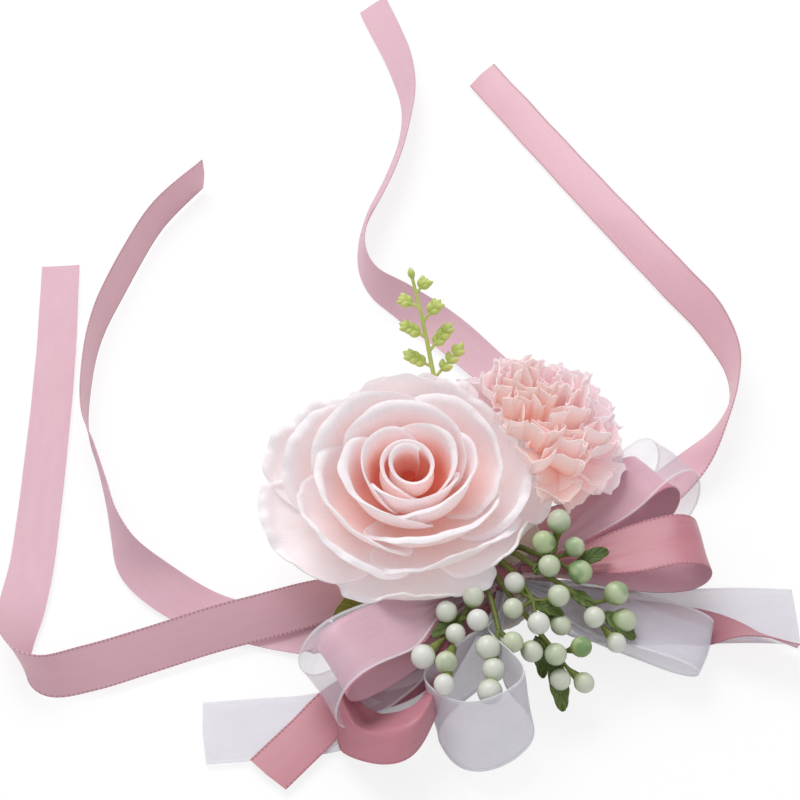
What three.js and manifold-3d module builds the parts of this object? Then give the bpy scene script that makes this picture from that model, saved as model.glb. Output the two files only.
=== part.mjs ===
// Wrist corsage: a fabric rose, a carnation, a budding sprig and berry twigs glued on a small round
// card, with a bow of satin and organza, on two satin ribbons whose four ends tie round the wrist.
// Millimetres, +Z up out of the flowers, the origin at the middle of the felt backing's underside.

import * as THREE from "three";
import { mergeVertices } from "three/addons/utils/BufferGeometryUtils.js";
import Module from "manifold-3d";

const wasm = await Module();
wasm.setup();

// Clearances
const GAP = 0.3; // between pieces that touch
const HINGE_GAP = 0.6; // between a ribbon's fixed run and its loose end, where the ribbon bends

// Backing, from the wrist up: felt, two tie ribbons, card, glue
const FELT_RADIUS = 20;
const FELT_THICKNESS = 1.5;
const CARD_RADIUS = 18;
const CARD_THICKNESS = 1.2;
const GLUE_RADIUS = 17;
const GLUE_THICKNESS = 1.2;
const DISC_SEGMENTS = 40;

// Ribbons
const SATIN_WIDTH = 10;
const BOW_SATIN_WIDTH = 13;
const SATIN_THICKNESS = 0.5;
const ORGANZA_WIDTH = 14;
const ORGANZA_THICKNESS = 0.4;
const GATHERED_WIDTH = 2.5; // of a bow ribbon at the knot

// Undersides of the stacked backing
const LOWER_TIE_Z = FELT_THICKNESS + GAP;
const UPPER_TIE_Z = LOWER_TIE_Z + SATIN_THICKNESS + GAP;
const CARD_Z = UPPER_TIE_Z + SATIN_THICKNESS + GAP;
const GLUE_Z = CARD_Z + CARD_THICKNESS + GAP;
const SEAT_Z = GLUE_Z + GLUE_THICKNESS + GAP; // where flowers, twigs and bow stand
const SATIN_TAIL_Z = SEAT_Z + ORGANZA_THICKNESS + GAP; // a satin tail lies on an organza one
const TAIL_DIP = 0.2; // how far a tail has come down where it leaves the card

// Rose
const ROSE_PLACE = [-13, 8];
const ROSE_LEAN = 8; // degrees, towards -Y
const ROSE_DEPTH = 0.9; // front to back against side to side
const PETAL_THICKNESS = 0.8;
const PETAL_ROUNDING = 0.2; // how far a petal's corners fall short of its middle
const PETAL_SWIRL = 0.9; // one side of a petal lies this far out and the other as far in
const PETAL_COLUMNS = 5;
const PETAL_STEP = 0.04; // share of a petal's angle taken by the step to the next petal
const CURL_FROM = 0.6; // share of a petal's length where its rim starts to roll over
const CURL_DROP = 0.3; // how far the rolled rim falls against how far it rolls
const PEG_RADIUS = 1.4; // stem that the layers are threaded on
const CALYX_HEIGHT = 6;
const CALYX_RADIUS = 6;
const CALYX_SEGMENTS = 20;
const ROSE_RINGS = [
  { name: "rose_petals_outer", petals: 6, rim: 28.5, rise: 9, roll: 2.4, turn: 0 },
  { name: "rose_petals_fourth", petals: 5, rim: 24, rise: 13, roll: 2, turn: 40 },
  { name: "rose_petals_third", petals: 5, rim: 18.8, rise: 15, roll: 1.6, turn: 10 },
  { name: "rose_petals_second", petals: 4, rim: 13.6, rise: 15.5, roll: 1, turn: 55 },
  { name: "rose_petals_inner", petals: 3, rim: 9, rise: 15, roll: 0.6, turn: 20 },
];
const BUD_RADIUS = 4.6;
const BUD_HEIGHT = 13.5;
const BUD_SEGMENTS = 16;

// Carnation
const CARNATION_STEM = [[8, 10], [10.5, 14, 3.6]]; // foot on the glue, then a bend above it
const CARNATION_STEM_RADIUS = 1.4;
const CARNATION_HEAD = [13.6, 18.6, 7.2]; // foot of the calyx, its height from the seat
const CARNATION_LEAN = 16; // degrees
const CARNATION_TOWARDS = 62; // degrees from +X to the side it leans to
const CARNATION_CALYX_RADIUS = 3;
const CARNATION_CALYX_HEIGHT = 5;
const RUFFLE_THICKNESS = 0.8;
const CARNATION_LAYERS = [
  { name: "carnation_petals_outer", rim: 22, rise: 3, waves: 9, ripple: 1, notch: 1.4 },
  { name: "carnation_petals_middle", rim: 16.5, rise: 9.5, waves: 9, ripple: 1.1, notch: 1.3 },
  { name: "carnation_petals_inner", rim: 11, rise: 12, waves: 7, ripple: 1, notch: 1.2 },
  { name: "carnation_petals_core", rim: 5.5, rise: 12.5, waves: 5, ripple: 0.7, notch: 1 },
];
const ROSE_CLEARANCE = 1; // free space kept round the rose where the carnation leans on it
const ROSE_OUTSIDE_SEGMENTS = 48;

// Tie ribbons: each runs under the card from one pair of wrist ends to the other
const LEFT_HINGE_X = -28;
const UPPER_TIE_HEADING = 20.9; // degrees from +X
const RIGHT_HINGE_REACH = 29; // along the upper tie, from the middle
const LOWER_TIE_CORNERS = [[-25, -22.4], [23, 40]]; // where the lower tie is folded round
const REAR_END_HEADING = 132.7; // degrees from +X
const REAR_HINGE_REACH = 8; // past the rear fold
const LEFT_END_SLOPE = -0.267; // y against x of the lower tie's run to its left end

// Bow
const KNOT_PLACE = [8, -11];
const KNOT_RADIUS = 3;
const KNOT_HEIGHT = 6;
const LOOP_STEPS = 24;
const PINCH = 1.1; // between the two ends of a loop at the knot
const LINED_PINCH = 3; // the same for a loop with another inside it

// Leaf under the rose, its heights from the seat
const LEAF_ROOT = [-13, -9, 1.6];
const LEAF_TIP = [-29, -20.5, 0.2];
const LEAF_WIDTH = 9;
const LEAF_THICKNESS = 0.6;
const LEAF_ARCH = 0.6; // rise of the middle of its length
const LEAF_CUP = 1.1; // how far its midrib lies below its edges

// Twigs, each on a stem that starts on the glue; heights are from the seat
const BERRY_RADIUS = 2.5;
const TWIG_RADIUS = 0.7;
const STALK_RADIUS = 0.45;
const STALK_SAG = 1;
const SPRIG_STEM = [[-2, 15], [-3.6, 22, 5.6], [-7, 35, 16.1], [-9.6, 45, 24.6], [-12.4, 54, 32.1]];
const SPRIG_BUD_LENGTH = 2.6;
const SPRIG_BUD_RADIUS = 0.9;
const BUD_STALK_RADIUS = 0.4;
const BUD_SINK = 0.4; // how far a bud is pushed on to the end of its stalk
const BUD_SPREAD = 42; // degrees between a stalk and its side buds
const SPRIG_TWIGLETS = [ // share of the stem, turn round it in degrees, length
  [0.5, 0, 9], [0.55, 180, 6], [0.62, 10, 7], [0.69, 185, 5.5], [0.76, -5, 5], [0.83, 175, 4],
  [0.9, 5, 3],
];
const BERRY_TWIGS = [ // each stem ends where its stalks fork
  {
    name: "berry_twig_rear",
    stem: [[8.6, -1.4], [11, -4.5, 6.1], [14.5, -8, 8.6], [18, -10, 10.1]],
    berries: [[19, -4.5, 15.6], [15, -8.5, 15.1], [22, -10, 14.1], [16.5, -14, 13.1], [23, -14.5, 11.6]],
  },
  {
    name: "berry_twig_middle",
    stem: [[4.6, -4], [6.6, -8.5, 7.2], [10, -13.5, 8.2], [13, -19.5, 8.4]],
    berries: [[9.2, -17, 11.1], [18, -20.5, 11.6], [8.5, -23.5, 11.6], [13.5, -27, 11.6], [18.5, -25, 7.6]],
  },
  {
    name: "berry_twig_left",
    stem: [[-2, -6], [-0.4, -11, 6.8], [0.4, -16.5, 7.4], [-1.8, -23, 7.8]],
    berries: [[0.3, -20.5, 11.1], [1, -26, 11.1], [-3.5, -28, 9.1], [-5.2, -22.9, 9.2],
      [-10.2, -33.6, 9.6], [-5.6, -35, 9.8], [-6.1, -40.1, 10]],
  },
  {
    name: "berry_twig_front",
    stem: [[0.3, -5.5], [1.6, -10.5, 6.6], [4.2, -19, 8.4], [5.5, -27, 8.8]],
    berries: [[8, -31, 10.8], [3, -32, 10.4], [4, -36.5, 9.4], [3, -41.5, 9.6], [12, -31.5, 8]],
  },
  {
    name: "berry_twig_right",
    stem: [[7, -3.2], [9.6, -7, 7.6], [16, -13.5, 9], [25, -20, 7.8]],
    berries: [[25.5, -24, 9], [30.5, -18.5, 9.4], [32, -23, 6], [30, -28, 5.6]],
  },
  {
    name: "berry_twig_front_right",
    stem: [[2.6, -5], [4.2, -9.5, 7.2], [8, -17, 7.4], [17, -29, 4.6]],
    berries: [[17, -32, 7.6], [22.5, -29.5, 6.2], [18, -35.5, 3.6], [23, -35.5, 2.2]],
  },
];

// Colours
const COLOUR = {
  felt: 0xf3e8e6,
  card: 0xf4f1ea,
  glue: 0xece7d6,
  satin: 0xcf8fa0,
  organza: 0xe9e2ec,
  roseEdge: 0xf6e4de,
  roseHeart: 0xeea896,
  carnation: 0xf3b8b0,
  leaf: 0x7f8f3c,
  sprig: 0xb4cc3e,
  berry: 0xcfdcb4,
};

const UP = new THREE.Vector3(0, 0, 1);
const radians = THREE.MathUtils.degToRad;
const lerp = THREE.MathUtils.lerp;

const corsage = new THREE.Group();
corsage.name = "wrist_corsage";
const arrangement = new THREE.Group(); // what stands on the glue
arrangement.position.z = SEAT_Z;
corsage.add(arrangement);

function material(colour, roughness) {
  return new THREE.MeshStandardMaterial({ color: colour, roughness, metalness: 0 });
}

function addPiece(parent, name, geometry, colour, roughness = 0.8) {
  const mesh = new THREE.Mesh(geometry, material(colour, roughness));
  mesh.name = name;
  parent.add(mesh);
  return mesh;
}

// Solids and booleans

function welded(geometry) {
  const bare = geometry.clone();
  bare.deleteAttribute("normal");
  bare.deleteAttribute("uv");
  return mergeVertices(bare, 1e-4);
}

function toSolid(geometry) {
  const mesh = welded(geometry);
  return new wasm.Manifold(new wasm.Mesh({
    numProp: 3,
    vertProperties: mesh.attributes.position.array,
    triVerts: new Uint32Array(mesh.index.array),
  }));
}

function toGeometry(solid) {
  const mesh = solid.getMesh();
  return new THREE.BufferGeometry()
    .setAttribute("position", new THREE.BufferAttribute(mesh.vertProperties, 3))
    .setIndex(new THREE.BufferAttribute(mesh.triVerts, 1));
}

function joined(geometries) {
  return toGeometry(geometries.map(toSolid).reduce((whole, next) => whole.add(next)));
}

function cutBy(geometry, cutter) {
  return toGeometry(toSolid(geometry).subtract(toSolid(cutter)));
}

// A closed shell between two grids of points, front facing out. With wrap the columns run round in a
// ring, so only the first and last rows are walled.
function shell(front, back, wrap = false) {
  const rows = front.length;
  const columns = front[0].length;
  const points = [...front.flat(), ...back.flat()];
  const faces = [];
  const at = (side, row, column) => side * rows * columns + row * columns + (column % columns);
  const quad = (a, b, c, d) => faces.push(a, b, c, a, c, d);
  const spans = wrap ? columns : columns - 1;
  for (let row = 0; row < rows - 1; row++) {
    for (let column = 0; column < spans; column++) {
      const next = row + 1;
      quad(at(0, row, column), at(0, row, column + 1), at(0, next, column + 1), at(0, next, column));
      quad(at(1, row, column), at(1, next, column), at(1, next, column + 1), at(1, row, column + 1));
    }
  }
  for (let column = 0; column < spans; column++) {
    quad(at(0, 0, column), at(1, 0, column), at(1, 0, column + 1), at(0, 0, column + 1));
    const last = rows - 1;
    quad(at(0, last, column), at(0, last, column + 1), at(1, last, column + 1), at(1, last, column));
  }
  if (!wrap) {
    const last = columns - 1;
    for (let row = 0; row < rows - 1; row++) {
      quad(at(0, row, 0), at(0, row + 1, 0), at(1, row + 1, 0), at(1, row, 0));
      quad(at(0, row, last), at(1, row, last), at(1, row + 1, last), at(0, row + 1, last));
    }
  }
  const geometry = new THREE.BufferGeometry().setFromPoints(points);
  geometry.setIndex(faces);
  return geometry;
}

// A patch given by point(u, v), thickened to one side along its own normal.
function thickPatch(point, uValues, vValues, thickness, wrap = false) {
  const step = 1e-3;
  const front = [];
  const back = [];
  for (const v of vValues) {
    const frontRow = [];
    const backRow = [];
    for (const u of uValues) {
      const here = point(u, v);
      const alongU = point(u + step, v).sub(point(u - step, v));
      const alongV = point(u, v + step).sub(point(u, v - step));
      const normal = alongU.cross(alongV).normalize();
      frontRow.push(here);
      backRow.push(here.clone().addScaledVector(normal, -thickness));
    }
    front.push(frontRow);
    back.push(backRow);
  }
  return shell(front, back, wrap);
}

function evenly(from, to, count) {
  return Array.from({ length: count + 1 }, (_, i) => lerp(from, to, i / count));
}

function lathe(profile, segments) {
  return new THREE.LatheGeometry(profile.map(([r, z]) => new THREE.Vector2(r, z)), segments)
    .rotateX(Math.PI / 2);
}

function disc(radius, thickness) {
  return lathe([[0, 0], [radius, 0], [radius, thickness], [0, thickness]], DISC_SEGMENTS);
}

function tube(points, radius, steps, sides) {
  const path = new THREE.CatmullRomCurve3(points.map((p) => new THREE.Vector3(...p)));
  const section = new THREE.Shape();
  for (let i = 0; i < sides; i++) {
    const angle = (2 * Math.PI * i) / sides;
    const [x, y] = [radius * Math.cos(angle), radius * Math.sin(angle)];
    if (i === 0) section.moveTo(x, y);
    else section.lineTo(x, y);
  }
  section.closePath();
  return new THREE.ExtrudeGeometry(section, { steps, extrudePath: path, bevelEnabled: false });
}

// Ribbons. A frame holds a point of the centre line, the direction along it and the direction across.

function ribbon(frames, thickness) {
  const front = [];
  const back = [];
  for (const { centre, along, across, width } of frames) {
    const normal = new THREE.Vector3().crossVectors(across, along).normalize();
    const low = centre.clone().addScaledVector(across, -width / 2);
    const high = centre.clone().addScaledVector(across, width / 2);
    front.push([low, high].map((p) => p.clone().addScaledVector(normal, thickness / 2)));
    back.push([low, high].map((p) => p.clone().addScaledVector(normal, -thickness / 2)));
  }
  const solid = shell(front, back);
  if (toSolid(solid).volume() > 0) return solid;
  return shell(back, front);
}

// Frames along hand-chosen stations [x, y, underside, roll]: the width lies level at roll 0 and stands
// on edge at 90, its right side (as one travels) lifted. Only the stretch between two shares of the
// route is kept. It may start gathered, full from the share gatherOver.
function trailFrames(stations, fullWidth, thickness, steps, { from = 0, to = 1, gatherOver = 0 } = {}) {
  const line = new THREE.CatmullRomCurve3(stations.map(([x, y, underside, roll]) => {
    const rise = (fullWidth * Math.sin(radians(roll)) + thickness * Math.abs(Math.cos(radians(roll)))) / 2;
    return new THREE.Vector3(x, y, underside + rise);
  }));
  const rolls = new THREE.SplineCurve(stations.map(([, , , roll]) => new THREE.Vector2(roll, 0)));
  return evenly(from, to, steps).map((t) => {
    const centre = line.getPoint(t);
    const along = line.getTangent(t);
    const level = new THREE.Vector3().crossVectors(along, UP).normalize();
    const lifted = new THREE.Vector3().crossVectors(level, along);
    const roll = radians(rolls.getPoint(t).x);
    const across = level.multiplyScalar(Math.cos(roll)).addScaledVector(lifted, Math.sin(roll));
    const fullness = gatherOver ? THREE.MathUtils.smoothstep(t / gatherOver, 0, 1) : 1;
    return { centre, along, across, width: lerp(GATHERED_WIDTH, fullWidth, fullness) };
  });
}

// Frames round a teardrop loop from the knot to its tip and back. At lean 0 the outgoing run lies
// above the returning one; at 90 the ribbon stands on edge. A higher bulb opens nearer the tip, and a
// lower flare keeps the ribbon gathered for longer.
function loopFrames({ from, to, opening, lean, bulb = 1, flare = 1.4, pinch = PINCH }, fullWidth) {
  const start = new THREE.Vector3(...from);
  const out = new THREE.Vector3(...to).sub(start);
  const length = out.length();
  out.normalize();
  const left = new THREE.Vector3().crossVectors(UP, out).normalize();
  const raised = new THREE.Vector3().crossVectors(out, left);
  const tilt = radians(lean);
  const apart = raised.multiplyScalar(Math.cos(tilt)).addScaledVector(left, Math.sin(tilt));
  const across = new THREE.Vector3().crossVectors(out, apart);
  const widest = (Math.sqrt(2 * bulb + 1) / (bulb + 1)) * ((2 * bulb + 1) / (2 * bulb + 2)) ** bulb;
  const reachAt = (s) => (1 - Math.cos(2 * Math.PI * s)) / 2;
  const place = (s) => {
    const spread = (opening / 2 / widest) * Math.sin(2 * Math.PI * s) * reachAt(s) ** bulb;
    const kept = (pinch / 2) * Math.cos(Math.PI * s);
    return start.clone()
      .addScaledVector(out, reachAt(s) * length)
      .addScaledVector(apart, spread + kept);
  };
  return evenly(0, 1, LOOP_STEPS).map((s) => {
    const along = place(s + 1e-3).sub(place(s - 1e-3)).normalize();
    const fullness = THREE.MathUtils.smoothstep(flare * reachAt(s), 0, 1);
    return { centre: place(s), along, across, width: lerp(GATHERED_WIDTH, fullWidth, fullness) };
  });
}

// A flat strip along a polyline of [x, y], mitred at its corners, its underside at z.
function mitredStrip(corners, width, thickness, z) {
  const points = corners.map(([x, y]) => new THREE.Vector2(x, y));
  const headings = points.slice(1).map((p, i) => p.clone().sub(points[i]).normalize());
  const side = (sign) => points.map((p, i) => {
    const before = headings[Math.max(i - 1, 0)];
    const after = headings[Math.min(i, headings.length - 1)];
    const mitre = before.clone().add(after).normalize();
    const normal = new THREE.Vector2(-mitre.y, mitre.x);
    const stretch = (sign * width) / 2 / mitre.dot(after);
    return p.clone().addScaledVector(normal, stretch);
  });
  const outline = new THREE.Shape([...side(-1), ...side(1).reverse()]);
  return new THREE.ExtrudeGeometry(outline, { depth: thickness, bevelEnabled: false })
    .translate(0, 0, z);
}

// Backing

addPiece(corsage, "backing_felt", disc(FELT_RADIUS, FELT_THICKNESS), COLOUR.felt, 0.95);
addPiece(corsage, "base_card", disc(CARD_RADIUS, CARD_THICKNESS), COLOUR.card).position.z = CARD_Z;
addPiece(corsage, "glue_bed", disc(GLUE_RADIUS, GLUE_THICKNESS), COLOUR.glue, 0.5).position.z = GLUE_Z;

// Tie ribbons

function heading(degrees) {
  return new THREE.Vector2(Math.cos(radians(degrees)), Math.sin(radians(degrees)));
}

const upperHeading = heading(UPPER_TIE_HEADING);
const rearHeading = heading(REAR_END_HEADING);
const alongUpperTie = (reach) => upperHeading.clone().multiplyScalar(reach).toArray();
const alongRearEnd = (reach) => [
  LOWER_TIE_CORNERS[1][0] + reach * rearHeading.x,
  LOWER_TIE_CORNERS[1][1] + reach * rearHeading.y,
];
const leftReach = LEFT_HINGE_X / upperHeading.x;
const [[foldX, foldY]] = LOWER_TIE_CORNERS;
const lowerLeft = (x) => [x, foldY + LEFT_END_SLOPE * (x - foldX)];
const halfHinge = HINGE_GAP / 2;

addPiece(corsage, "tie_upper_band", mitredStrip(
  [alongUpperTie(leftReach + halfHinge), alongUpperTie(RIGHT_HINGE_REACH - halfHinge)],
  SATIN_WIDTH, SATIN_THICKNESS, UPPER_TIE_Z), COLOUR.satin, 0.45);
addPiece(corsage, "tie_lower_band", mitredStrip(
  [lowerLeft(LEFT_HINGE_X + halfHinge), ...LOWER_TIE_CORNERS, alongRearEnd(REAR_HINGE_REACH - halfHinge)],
  SATIN_WIDTH, SATIN_THICKNESS, LOWER_TIE_Z), COLOUR.satin, 0.45);

const TIE_ENDS = [
  {
    name: "tie_left_front",
    root: [...alongUpperTie(leftReach - halfHinge), UPPER_TIE_Z, 0],
    stations: [
      [-34, -13.3, 2, 18], [-42, -16.6, 1.7, 36], [-55, -20.5, 1.2, 40], [-68.5, -25.3, 0.8, 40],
      [-81, -29.8, 0.8, 42], [-89.5, -31.8, 0.4, 60], [-95, -29, 0.4, 90], [-97.8, -22, 0.5, 128],
      [-98.2, -13, 0.5, 158], [-98.6, 0, 0.4, 178], [-100.5, 30, 0.4, 180], [-103, 60, 0.4, 180],
      [-107, 95, 0.4, 180],
    ],
  },
  {
    name: "tie_left_rear",
    root: [...lowerLeft(LEFT_HINGE_X - halfHinge), LOWER_TIE_Z, 0],
    stations: [
      [-34, -20.2, 0.6, 0], [-43.5, -17.8, 0.4, 0], [-57, -14, 0.4, 2], [-67.2, -9, 0.4, 22],
      [-75.8, -2, 0.4, 52], [-80, 6, 0.5, 74], [-83.2, 15.5, 0.5, 82], [-87, 26, 0.5, 87],
      [-91, 36, 0.5, 91], [-92.9, 50, 0.5, 93], [-92.7, 68, 0.5, 96], [-88.4, 88, 0.5, 101],
      [-81.5, 110, 0.5, 97], [-70.7, 127.5, 0.5, 88],
    ],
  },
  {
    name: "tie_rear",
    root: [...alongRearEnd(REAR_HINGE_REACH + halfHinge), LOWER_TIE_Z, 0],
    stations: [
      [8, 56.5, 1.4, 6], [-3, 68, 0.9, 30], [-14, 77, 0.6, 60], [-21.5, 83.5, 0.6, 78], [-25, 92, 0.6, 80],
      [-25, 103, 0.4, 74], [-22, 115, 0.4, 62], [-17, 131, 0.4, 64], [-13.5, 148, 0.4, 70],
      [-12.5, 162, 0.5, 66], [-15, 180, 0.5, 52], [-24, 212.5, 0.4, 32],
    ],
  },
  {
    name: "tie_right",
    root: [...alongUpperTie(RIGHT_HINGE_REACH + halfHinge), UPPER_TIE_Z, 0],
    stations: [
      [36, 13.6, 1.2, 0], [44.5, 17.5, 0.4, 4], [54, 25.5, 0.4, 26], [62, 35.5, 0.6, 68],
      [67, 45.5, 0.6, 86], [68.5, 56, 0.4, 80], [65.5, 70, 0.4, 60], [57, 88, 0.4, 38],
      [41, 118, 0.4, 28], [10, 176, 0.4, 28],
    ],
  },
];
for (const { name, root, stations } of TIE_ENDS) {
  const frames = trailFrames([root, ...stations], SATIN_WIDTH, SATIN_THICKNESS, 3 * stations.length);
  addPiece(corsage, name, ribbon(frames, SATIN_THICKNESS), COLOUR.satin, 0.45);
}

// Bow

addPiece(arrangement, "bow_knot", disc(KNOT_RADIUS, KNOT_HEIGHT), COLOUR.satin)
  .position.set(...KNOT_PLACE, 0);

// A loop starts at the knot's side, in the direction of its tip.
function besideKnot(tip, drop) {
  const away = new THREE.Vector2(tip[0] - KNOT_PLACE[0], tip[1] - KNOT_PLACE[1]);
  away.setLength(KNOT_RADIUS + GAP);
  return [KNOT_PLACE[0] + away.x, KNOT_PLACE[1] + away.y, KNOT_HEIGHT - drop];
}

const BOW_LOOPS = [ // to is the tip, its height from the seat; drop is from the knot's top to the start
  {
    name: "bow_organza_left", sheer: true,
    to: [-33, -35, 4.9], drop: 1.8, opening: 10, lean: 8, bulb: 2.5, pinch: LINED_PINCH,
  },
  {
    name: "bow_satin_left_lining",
    to: [-28.5, -32.6, 4.8], drop: 1.8, opening: 5.6, lean: 8, bulb: 2.5,
  },
  { name: "bow_satin_front", to: [-16.8, -47.8, 1], drop: 4.8, opening: 9, lean: 24, bulb: 2.5 },
  {
    name: "bow_organza_front", sheer: true,
    to: [3.2, -52.6, 5], drop: 3.6, opening: 17, lean: 66, bulb: 2.5, flare: 1,
  },
  {
    name: "bow_organza_right_rear", sheer: true,
    to: [49, 16.8, 6], drop: 2.9, opening: 16, lean: 10, bulb: 2.5, pinch: LINED_PINCH,
  },
  {
    name: "bow_satin_right_rear_lining",
    to: [44, 13.6, 5.8], drop: 2.9, opening: 11, lean: 10, bulb: 2.5,
  },
  { name: "bow_satin_right", to: [51, -6.4, 7.4], drop: 0, opening: 10.4, lean: 2, bulb: 2.2 },
  {
    name: "bow_organza_right_front", sheer: true,
    to: [50, -26.4, 0.2], drop: 3.2, opening: 4.6, lean: 4, bulb: 2.5,
  },
];
for (const { name, sheer, drop, ...shape } of BOW_LOOPS) {
  const width = sheer ? ORGANZA_WIDTH : BOW_SATIN_WIDTH;
  const thickness = sheer ? ORGANZA_THICKNESS : SATIN_THICKNESS;
  const colour = sheer ? COLOUR.organza : COLOUR.satin;
  const frames = loopFrames({ ...shape, from: besideKnot(shape.to, drop) }, width);
  addPiece(arrangement, name, ribbon(frames, thickness), colour, 0.5);
}

// Rose. Each layer is one lobed cup threaded on the stem, its petals overlapping like a pinwheel.

function cupProfile(rim, rise, seat) {
  return new THREE.CubicBezierCurve(
    new THREE.Vector2(PEG_RADIUS + GAP, seat),
    new THREE.Vector2(0.7 * rim, seat),
    new THREE.Vector2(rim, seat + 0.35 * rise),
    new THREE.Vector2(rim, seat + rise),
  );
}

function petalRing(ring, seat) {
  const profile = cupProfile(ring.rim, ring.rise, seat);
  const front = [];
  const back = [];
  for (const v of evenly(0, 1, 5)) {
    const frontRow = [];
    const backRow = [];
    for (let i = 0; i < ring.petals; i++) {
      for (const u of evenly(-1, 1, PETAL_COLUMNS)) {
        const reach = v * (1 - PETAL_ROUNDING * Math.abs(u) ** 3);
        const curl = Math.max(0, reach - CURL_FROM) / (1 - CURL_FROM);
        const point = profile.getPoint(reach);
        const slope = profile.getTangent(reach);
        point.x += ring.roll * curl * curl + PETAL_SWIRL * u * reach;
        point.y -= CURL_DROP * ring.roll * curl * curl;
        const angle = (2 * Math.PI * (i + (1 - PETAL_STEP) * (u + 1) / 2)) / ring.petals;
        const spoke = new THREE.Vector3(Math.cos(angle), Math.sin(angle), 0);
        const outside = spoke.clone().multiplyScalar(point.x).setZ(point.y);
        const inside = spoke.multiplyScalar(point.x - PETAL_THICKNESS * slope.y)
          .setZ(point.y + PETAL_THICKNESS * slope.x);
        frontRow.push(outside);
        backRow.push(inside);
      }
    }
    front.push(frontRow);
    back.push(backRow);
  }
  return shell(front, back, true).rotateZ(radians(ring.turn));
}

const rose = new THREE.Group();
rose.position.set(...ROSE_PLACE, (CALYX_RADIUS / 2) * Math.sin(radians(ROSE_LEAN)));
rose.rotation.x = radians(ROSE_LEAN);
rose.scale.y = ROSE_DEPTH;
arrangement.add(rose);

const layerPitch = PETAL_THICKNESS + GAP;
const roseSeat = (layer) => CALYX_HEIGHT + GAP + layer * layerPitch;
const roseLayersTop = roseSeat(ROSE_RINGS.length);
const rosePegTop = roseLayersTop + BUD_HEIGHT / 2;
addPiece(rose, "rose_calyx", lathe([
  [0, 0], [CALYX_RADIUS / 2, 0], [CALYX_RADIUS, CALYX_HEIGHT], [PEG_RADIUS, CALYX_HEIGHT],
  [PEG_RADIUS, rosePegTop], [0, rosePegTop],
], CALYX_SEGMENTS), COLOUR.leaf);
ROSE_RINGS.forEach((ring, i) => {
  const warmth = i / (ROSE_RINGS.length - 1);
  const colour = new THREE.Color(COLOUR.roseEdge).lerp(new THREE.Color(COLOUR.roseHeart), warmth);
  addPiece(rose, ring.name, petalRing(ring, roseSeat(i)), colour);
});
const boreRadius = PEG_RADIUS + GAP;
const boreDepth = rosePegTop - roseLayersTop + GAP;
addPiece(rose, "rose_bud", lathe([
  [boreRadius, 0], [0.45 * BUD_RADIUS, 0], [BUD_RADIUS, 0.45 * BUD_HEIGHT],
  [0.85 * BUD_RADIUS, 0.8 * BUD_HEIGHT], [0.55 * BUD_RADIUS, BUD_HEIGHT],
  [0.2 * BUD_RADIUS, 0.82 * BUD_HEIGHT], [0, 0.8 * BUD_HEIGHT],
  [0, boreDepth], [boreRadius, boreDepth], [boreRadius, 0],
], BUD_SEGMENTS), COLOUR.roseHeart).position.z = roseLayersTop;

// Carnation. Each layer is one ruffled, notched cup.

function ruffledCup(layer, seat) {
  const columns = layer.waves * 4;
  const profile = cupProfile(layer.rim, layer.rise, seat);
  const point = (u, v) => {
    const bend = profile.getPoint(v);
    const angle = 2 * Math.PI * u;
    const growth = v * v;
    const wave = Math.sin(layer.waves * angle);
    const notch = Math.round(columns * u) % 2 === 0 ? 0 : layer.notch;
    const radius = bend.x + layer.ripple * wave * growth;
    const height = bend.y - notch * growth * growth;
    return new THREE.Vector3(radius * Math.cos(angle), radius * Math.sin(angle), height);
  };
  const around = evenly(0, 1, columns).slice(0, -1);
  return thickPatch(point, around, evenly(0, 1, 5), RUFFLE_THICKNESS, true);
}

const carnation = new THREE.Group();
carnation.position.set(...CARNATION_HEAD);
const leanAxis = new THREE.Vector3(0, 1, 0).applyAxisAngle(UP, radians(CARNATION_TOWARDS));
carnation.quaternion.setFromAxisAngle(leanAxis, radians(CARNATION_LEAN));
arrangement.add(carnation);
rose.updateMatrix();
carnation.updateMatrix();

// The rose's outside, grown by the clearance, in the carnation's own frame.
const ringWidth = (ring) => ring.rim + ring.roll + PETAL_SWIRL + ROSE_CLEARANCE;
const ringTop = (ring, i) => roseSeat(i) + ring.rise + ROSE_CLEARANCE;
const [outermost] = ROSE_RINGS;
const roseOutside = lathe([
  [0, 0],
  [CALYX_RADIUS + ROSE_CLEARANCE, CALYX_HEIGHT - ROSE_CLEARANCE],
  [0.8 * outermost.rim, CALYX_HEIGHT],
  [ringWidth(outermost), roseSeat(0) + outermost.rise / 2],
  ...ROSE_RINGS.map((ring, i) => [ringWidth(ring), ringTop(ring, i)]),
  [0, ringTop(ROSE_RINGS.at(-1), ROSE_RINGS.length - 1)],
], ROSE_OUTSIDE_SEGMENTS).applyMatrix4(rose.matrix).applyMatrix4(carnation.matrix.clone().invert());

const [carnationFoot, carnationBend] = CARNATION_STEM;
const stemTop = new THREE.Vector3(0, 0, -GAP - CARNATION_STEM_RADIUS / 2).applyMatrix4(carnation.matrix);
const carnationRoute = [[...carnationFoot, CARNATION_STEM_RADIUS], carnationBend, stemTop.toArray()];
addPiece(arrangement, "carnation_stem", tube(carnationRoute, CARNATION_STEM_RADIUS, 6, 8), COLOUR.leaf);

const ruffleSeat = (layer) => CARNATION_CALYX_HEIGHT + GAP + layer * (RUFFLE_THICKNESS + GAP);
const carnationPegTop = ruffleSeat(CARNATION_LAYERS.length);
addPiece(carnation, "carnation_calyx", lathe([
  [0, 0], [CARNATION_CALYX_RADIUS / 2, 0], [CARNATION_CALYX_RADIUS, CARNATION_CALYX_HEIGHT],
  [PEG_RADIUS, CARNATION_CALYX_HEIGHT], [PEG_RADIUS, carnationPegTop], [0, carnationPegTop],
], CALYX_SEGMENTS), COLOUR.leaf);
CARNATION_LAYERS.forEach((layer, i) => {
  const cup = ruffledCup(layer, ruffleSeat(i));
  addPiece(carnation, layer.name, cutBy(cup, roseOutside), COLOUR.carnation);
});

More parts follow.
